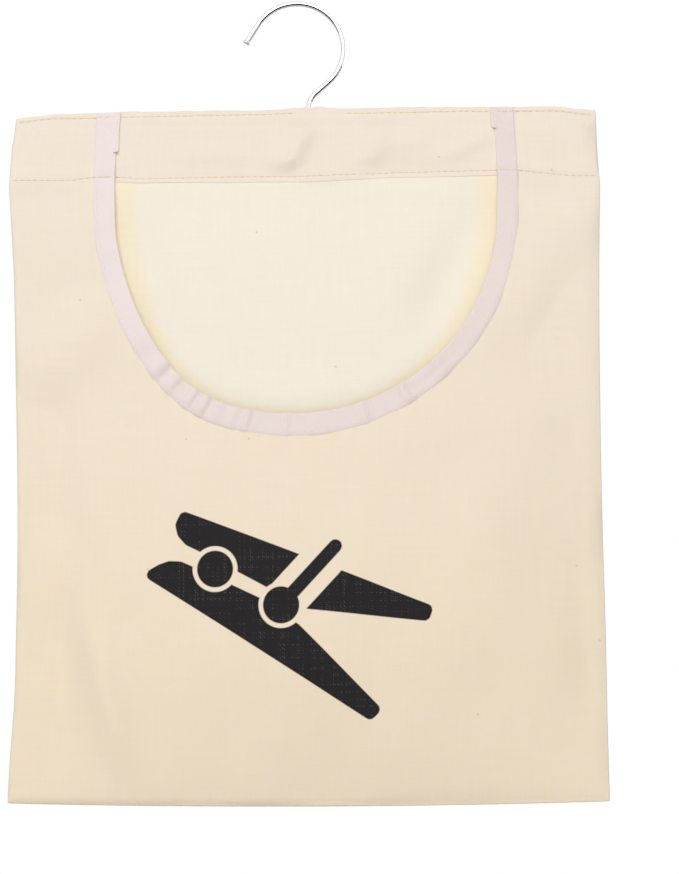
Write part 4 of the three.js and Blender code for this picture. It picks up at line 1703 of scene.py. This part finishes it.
@dataclass
class SeamAllowances:
    """Overlocked seam allowances that lie inside the bag along its sides and bottom."""

    shape: HangingCloth
    cell: float = 2.0
    least_points: int = 4  # along the short way
    loop_pitch: float = 2.4
    loop_reach: float = 3.0
    loop_slant: float = 1.2
    loop_out: float = 0.1
    loop_gaps: tuple[float, float] = (1.0, 2.0)  # without loops at the ends
    gap: float = 0.15
    clear: float = 0.05  # to the front panel's inner face
    slack: float = 0.2
    slack_lengths: tuple[float, float] = (5.0, 6.0)  # of its waves across and down

    def build(self) -> list[bpy.types.Object]:
        """Build the three seams.

        Returns:
            The seams and their overlocking.
        """
        made = []
        for name, node in (
            ("side_seam_left", "left_side_seam"),
            ("side_seam_right", "right_side_seam"),
            ("bottom_seam_cloth", "bottom_seam"),
        ):
            low, high = (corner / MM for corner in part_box(node))
            columns, rows = (
                max(self.least_points, round(length / self.cell))
                for length in (high.x - low.x, high.z - low.z))
            x = np.linspace(low.x, high.x, columns)
            depth = np.linspace(self.shape.top - high.z, self.shape.top - low.z, rows)
            bm, _, _ = cloth_grid(x, depth[::-1], self.place)
            strip = finish_piece(bm, name, [FRONT_COTTON.material()], Body.BAG, Slot.COTTON)
            thicken(strip, 2 * self.shape.cloth)
            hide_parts(node)
            made += [strip, self.overlock(name + "_overlock", x, depth)]
        return made

    def place(self, x: Array, depth: Array) -> Array:
        """Points of an allowance's free face, just off the back panel and behind the front's rounded edge.

        Args:
            x: Places across.
            depth: Places down.

        Returns:
            One row of three coordinates per place.
        """
        shape = self.shape
        back, front = shape.back_inner(x, depth), shape.front_outer(x, depth)
        across, down = self.slack_lengths
        loose = back - self.gap - 2 * shape.cloth - self.slack * (1 - np.sin(x / across + depth / down))
        behind_front = np.maximum(loose, front + shape.cloth + self.clear)
        return shape.place(x, depth, np.minimum(behind_front, back - shape.cloth))

    def overlock(self, name: str, x: Array, depth: Array) -> bpy.types.Object:
        """Sew slanting overlock loops along an allowance's raw edge.

        Args:
            name: Name of the piece.
            x: Places of the allowance across.
            depth: Places of it down.

        Returns:
            The loops.
        """
        upright = depth[-1] - depth[0] > x[-1] - x[0]
        row = StitchRow(name, ROW_THREAD)
        bm = bmesh.new()
        span = depth if upright else x
        raw = (x[0] if x[0] > 0 else x[-1]) if upright else depth[0]
        outward = math.copysign(self.loop_reach, raw)
        for at in np.arange(span[0] + self.loop_gaps[0], span[-1] - self.loop_gaps[1], self.loop_pitch):
            edge, along = np.array([raw, raw + outward]), np.array([at, at + self.loop_slant])
            points = self.place(edge, along) if upright else self.place(along, edge)
            row.stitch(bm, *(Vector(point) - Vector((0, self.loop_out, 0)) for point in points))
        return finish_piece(bm, name, [ROW_THREAD.material()], Body.BAG, Slot.THREAD)


@dataclass
class WireHook:
    """Chrome wire hook: round crown with a flared tip, bent neck, and stem with a head under the bar."""

    wire: float = 2.4
    crown: float = 20.6
    offset: float = 5.2
    tip_angle: float = 148.0
    tip_length: float = 8.4
    neck_angle: float = -48.0
    neck: float = 9.0
    head: float = 4.8
    head_height: float = 1.5
    # From ring to ring: growth, and fall as a share of the head's height or distance out
    head_rings: tuple[tuple[float, float], ...] = ((1.0, 0.4), (0.86, 0.3), (0.6, 0.2), (0.3, 0.1))
    tip_rings: tuple[tuple[float, float], ...] = (
        (1.06, 0.3), (1.3, 0.4), (1.06, 0.5), (0.97, 0.3), (0.8, 0.18), (0.45, 0.08))
    sides: int = 24
    crown_steps: int = 96
    neck_steps: int = 20

    def build(self) -> bpy.types.Object:
        """Build and dress the hook.

        Returns:
            The hook.
        """
        bm = bmesh.new()
        radius = self.wire / 2
        middle = Vector((-self.offset, 0, -math.sqrt((self.crown - radius) ** 2 - self.offset**2)))
        tip_turn, neck_turn = math.radians(self.tip_angle), math.radians(-self.neck_angle)
        tip_way = Vector((-math.sin(tip_turn), 0, math.cos(tip_turn)))
        crown_start = middle + self.crown * Vector((math.cos(tip_turn), 0, math.sin(tip_turn)))
        tip = crown_start + tip_way * self.tip_length
        turned = tip_way.to_track_quat("-Z", "Y").to_matrix().to_4x4()
        circle = bmesh.ops.create_circle(
            bm, segments=self.sides, radius=radius, matrix=Matrix.Translation(tip) @ turned)["verts"]
        first = self.ring_of(circle)
        ring = self.extrude(bm, first, -tip_way * self.tip_length)
        ring = self.spin(bm, ring, middle, tip_turn + neck_turn, self.crown_steps)
        neck_start = middle + self.crown * Vector((math.cos(neck_turn), 0, -math.sin(neck_turn)))
        straight = (neck_start.x - self.neck * (1 - math.cos(neck_turn))) / math.sin(neck_turn)
        down = Vector((-math.sin(neck_turn), 0, -math.cos(neck_turn)))
        ring = self.extrude(bm, ring, down * straight)
        bend_end = neck_start + down * straight - Vector((0, 0, self.neck * math.sin(neck_turn)))
        ring = self.spin(bm, ring, Vector((self.neck, 0, bend_end.z)), -neck_turn, self.neck_steps)
        self.close_head(bm, ring, bend_end.z)
        self.close_tip(bm, first, tip_way)
        bmesh.ops.remove_doubles(bm, verts=bm.verts, dist=1e-4)
        bmesh.ops.recalc_face_normals(bm, faces=bm.faces)
        piece = finish_piece(bm, "wire_hook", [CHROME.material()], Body.HOOK, Slot.CHROME)
        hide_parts("hook")
        return piece

    def close_head(self, bm: bmesh.types.BMesh, ring: Ring, stem_z: float) -> None:
        """Run the stem down to its head under the bar, and round the head off.

        Args:
            bm: Hook.
            ring: Last ring of the bent neck.
            stem_z: Height of that ring.
        """
        head_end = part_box("hook")[0].z / MM
        ring = self.extrude(bm, ring, Vector((0, 0, head_end + self.head_height - stem_z)))
        for grow, fall in ((self.head / self.wire, 0.0), *self.head_rings):
            ring = self.extrude(bm, ring, Vector((0, 0, -fall * self.head_height)), grow)
        bmesh.ops.contextual_create(bm, geom=[part for part in ring if isinstance(part, bmesh.types.BMEdge)])

    def close_tip(self, bm: bmesh.types.BMesh, ring: Ring, way: Vector) -> None:
        """Flare the free end into a small blunt button.

        Args:
            bm: Hook.
            ring: Ring at the end of the straight tip.
            way: Direction out of the tip.
        """
        for grow, out in self.tip_rings:
            ring = self.extrude(bm, ring, way * out, grow)
        bmesh.ops.contextual_create(bm, geom=[part for part in ring if isinstance(part, bmesh.types.BMEdge)])

    @staticmethod
    def ring_of(verts: Sequence[bmesh.types.BMVert]) -> Ring:
        """The points and edges of a closed ring."""
        return [*verts, *{edge for vert in verts for edge in vert.link_edges}]

    @staticmethod
    def extrude(bm: bmesh.types.BMesh, ring: Ring, move: Vector, grow: float = 1.0) -> Ring:
        """Extrude a ring along a straight line.

        Args:
            bm: Mesh that holds the ring.
            ring: Points and edges of the ring.
            move: How far, and which way.
            grow: Factor on the new ring's size.

        Returns:
            The new ring.
        """
        edges = [part for part in ring if isinstance(part, bmesh.types.BMEdge)]
        made = bmesh.ops.extrude_edge_only(bm, edges=edges)["geom"]
        verts = [part for part in made if isinstance(part, bmesh.types.BMVert)]
        middle = sum((vert.co for vert in verts), Vector()) / len(verts)
        bmesh.ops.scale(bm, vec=(grow,) * 3, space=Matrix.Translation(-middle), verts=verts)
        bmesh.ops.translate(bm, vec=move, verts=verts)
        fresh = set(verts)
        return [*verts, *(part for part in made
                          if isinstance(part, bmesh.types.BMEdge) and set(part.verts) <= fresh)]

    @staticmethod
    def spin(bm: bmesh.types.BMesh, ring: Ring, middle: Vector, angle: float, steps: int) -> Ring:
        """Sweep a ring round an axis that points to the back.

        Args:
            bm: Mesh that holds the ring.
            ring: Points and edges of the ring.
            middle: Point on the axis.
            angle: How far, in radians.
            steps: Number of steps.

        Returns:
            The last ring.
        """
        return bmesh.ops.spin(
            bm, geom=ring, cent=middle, axis=(0, 1, 0), angle=angle, steps=steps, use_merge=False,
            use_duplicate=False)["geom_last"]


@dataclass
class Studio:
    """Camera at the photograph's angle, soft light and a pale floor."""

    target: tuple[float, float, float] = (13.65, 0.0, -193.23)
    distance: float = 2000.0
    look_up: float = 8.75  # degrees
    lens: float = 187.76
    floor_drop: float = 250.0
    floor_size: float = 9000.0
    sky: float = 0.42
    key_at: tuple[float, float, float] = (-350.0, -2300.0, 1000.0)
    key_size: float = 2200.0
    key_watts: float = 42.0
    back_at: tuple[float, float, float] = (1000.0, 3400.0, 1200.0)
    back_size: float = 1600.0
    back_watts: float = 48.0
    floor_colour: str = "#EAE9E7"
    card_size: tuple[float, float] = (3000.0, 3100.0)
    card_forward: float = 1800.0
    card_lift: float = 10.0
    card_colour: str = "#0C0C0C"

    def build(self) -> None:
        """Set up the camera, the light and the floor."""
        scene = bpy.context.scene
        scene.view_settings.view_transform = "Standard"
        self.camera(scene)
        self.world(scene)
        self.lamp("key_light", Vector(self.key_at) * MM, self.key_size * MM, self.key_watts)
        self.lamp("back_light", Vector(self.back_at) * MM, self.back_size * MM, self.back_watts)
        self.floor()
        self.dark_card()

    def camera(self, scene: bpy.types.Scene) -> None:
        """Place the camera below the bag's middle, looking up a little.

        Args:
            scene: Scene that gets the camera.
        """
        data = bpy.data.cameras.new("camera")
        data.lens = self.lens
        data.clip_end = 100.0
        camera = bpy.data.objects.new("camera", data)
        tilt = math.radians(self.look_up)
        way = Vector((0, math.cos(tilt), math.sin(tilt)))
        camera.location = (Vector(self.target) - way * self.distance) * MM
        camera.rotation_euler = (math.pi / 2 + tilt, 0, 0)
        scene.collection.objects.link(camera)
        scene.camera = camera

    def world(self, scene: bpy.types.Scene) -> None:
        """Make the world white to the camera and in reflections, and an even soft sky for everything else.

        Args:
            scene: Scene that gets the world.
        """
        world = bpy.data.worlds.new("studio")
        world.use_nodes = True
        tree = world.node_tree
        tree.nodes.clear()
        path = add_node(tree, "ShaderNodeLightPath").outputs
        seen = path["Is Camera Ray"]
        for ray in ("Is Glossy Ray", "Is Transmission Ray"):
            seen = add_node(tree, "ShaderNodeMath", {"operation": "MAXIMUM"}, {
                0: seen, 1: path[ray]}).outputs[0]
        strength = add_node(tree, "ShaderNodeMapRange", inputs={
            "Value": seen, "To Min": self.sky, "To Max": 1.0}).outputs[0]
        sky = add_node(tree, "ShaderNodeBackground", inputs={"Color": (1, 1, 1, 1), "Strength": strength})
        add_node(tree, "ShaderNodeOutputWorld", inputs={"Surface": sky.outputs[0]})
        scene.world = world

    def lamp(self, name: str, at: Vector, size: float, watts: float) -> None:
        """Add a square soft light aimed at the bag's middle.

        Args:
            name: Name of the light.
            at: Place in metres.
            size: Side of the square in metres.
            watts: Power.
        """
        data = bpy.data.lights.new(name, "AREA")
        data.size = size
        data.energy = watts
        lamp = bpy.data.objects.new(name, data)
        lamp.location = at
        lamp.rotation_euler = (Vector(self.target) * MM - at).to_track_quat("-Z", "Y").to_euler()
        bpy.context.scene.collection.objects.link(lamp)

    def plane(self, name: str, size: tuple[float, float], at: Vector, colour: str) -> bpy.types.Object:
        """Add a level plane that isn't part of the object.

        Args:
            name: Name of the plane.
            size: Its two sides.
            at: Place of its middle, with its height from the floor.
            colour: Its colour.

        Returns:
            The plane.
        """
        bm = bmesh.new()
        level = Vector((0, 0, CAD_BOX[0].z - self.floor_drop * MM))
        half = [side / 2 * MM for side in size]
        matrix = Matrix.Translation(level + at * MM) @ Matrix.Diagonal((*half, 1, 1))
        bmesh.ops.create_grid(bm, x_segments=1, y_segments=1, size=1.0, matrix=matrix)
        mesh = bpy.data.meshes.new(name)
        bm.to_mesh(mesh)
        bm.free()
        material, tree = new_material(name)
        close_material(tree, add_node(tree, "ShaderNodeBsdfPrincipled", inputs={
            "Base Color": linear(colour), "Roughness": 0.9, "Specular IOR Level": 0.2}))
        mesh.materials.append(material)
        plane = bpy.data.objects.new(name, mesh)
        bpy.context.scene.collection.objects.link(plane)
        return plane

    def floor(self) -> None:
        """Add the pale floor well below the bag."""
        self.plane("floor", (self.floor_size, self.floor_size), Vector(), self.floor_colour)

    def dark_card(self) -> None:
        """Add a dark card on the floor in front, seen only in the chrome: it gives the wire its dark line."""
        at = Vector((0, -self.card_forward, self.card_lift))
        card = self.plane("dark_card", self.card_size, at, self.card_colour)
        card.visible_camera = False
        card.visible_diffuse = False
        card.visible_shadow = False
        card.visible_transmission = False


def dress_hanger() -> None:
    """Give the bar and the washer, whose CAD shapes stay, their finishes."""
    for node, finish in (("hanger_bar", BEECH), ("hook_washer", ZINC)):
        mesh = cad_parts[node].data
        mesh.materials.clear()
        mesh.materials.append(finish.material())
        LOG.info("dressed %s in %s", node, finish.name)


def main() -> None:
    """Build the bag and set up the studio."""
    logging.basicConfig(level=logging.INFO, format="%(name)s: %(message)s")
    Studio().build()
    shape = HangingCloth()
    front_panel = FrontPanel(shape)
    tape_maker = MouthTape(shape)
    casing_maker = CasingStrip(shape)
    hook = WireHook().build()
    back = BackPanel(shape).build()
    casing = casing_maker.build()
    front = front_panel.build()
    tape = tape_maker.build()
    rows = Sewing(shape, tape_maker).build()
    seams = SeamAllowances(shape).build()
    dress_hanger()
    for piece in (hook, back, casing, front, tape, *rows, *seams):
        LOG.info("built %s, %d faces", piece.name, len(piece.data.polygons))


if __name__ == "__main__":
    main()
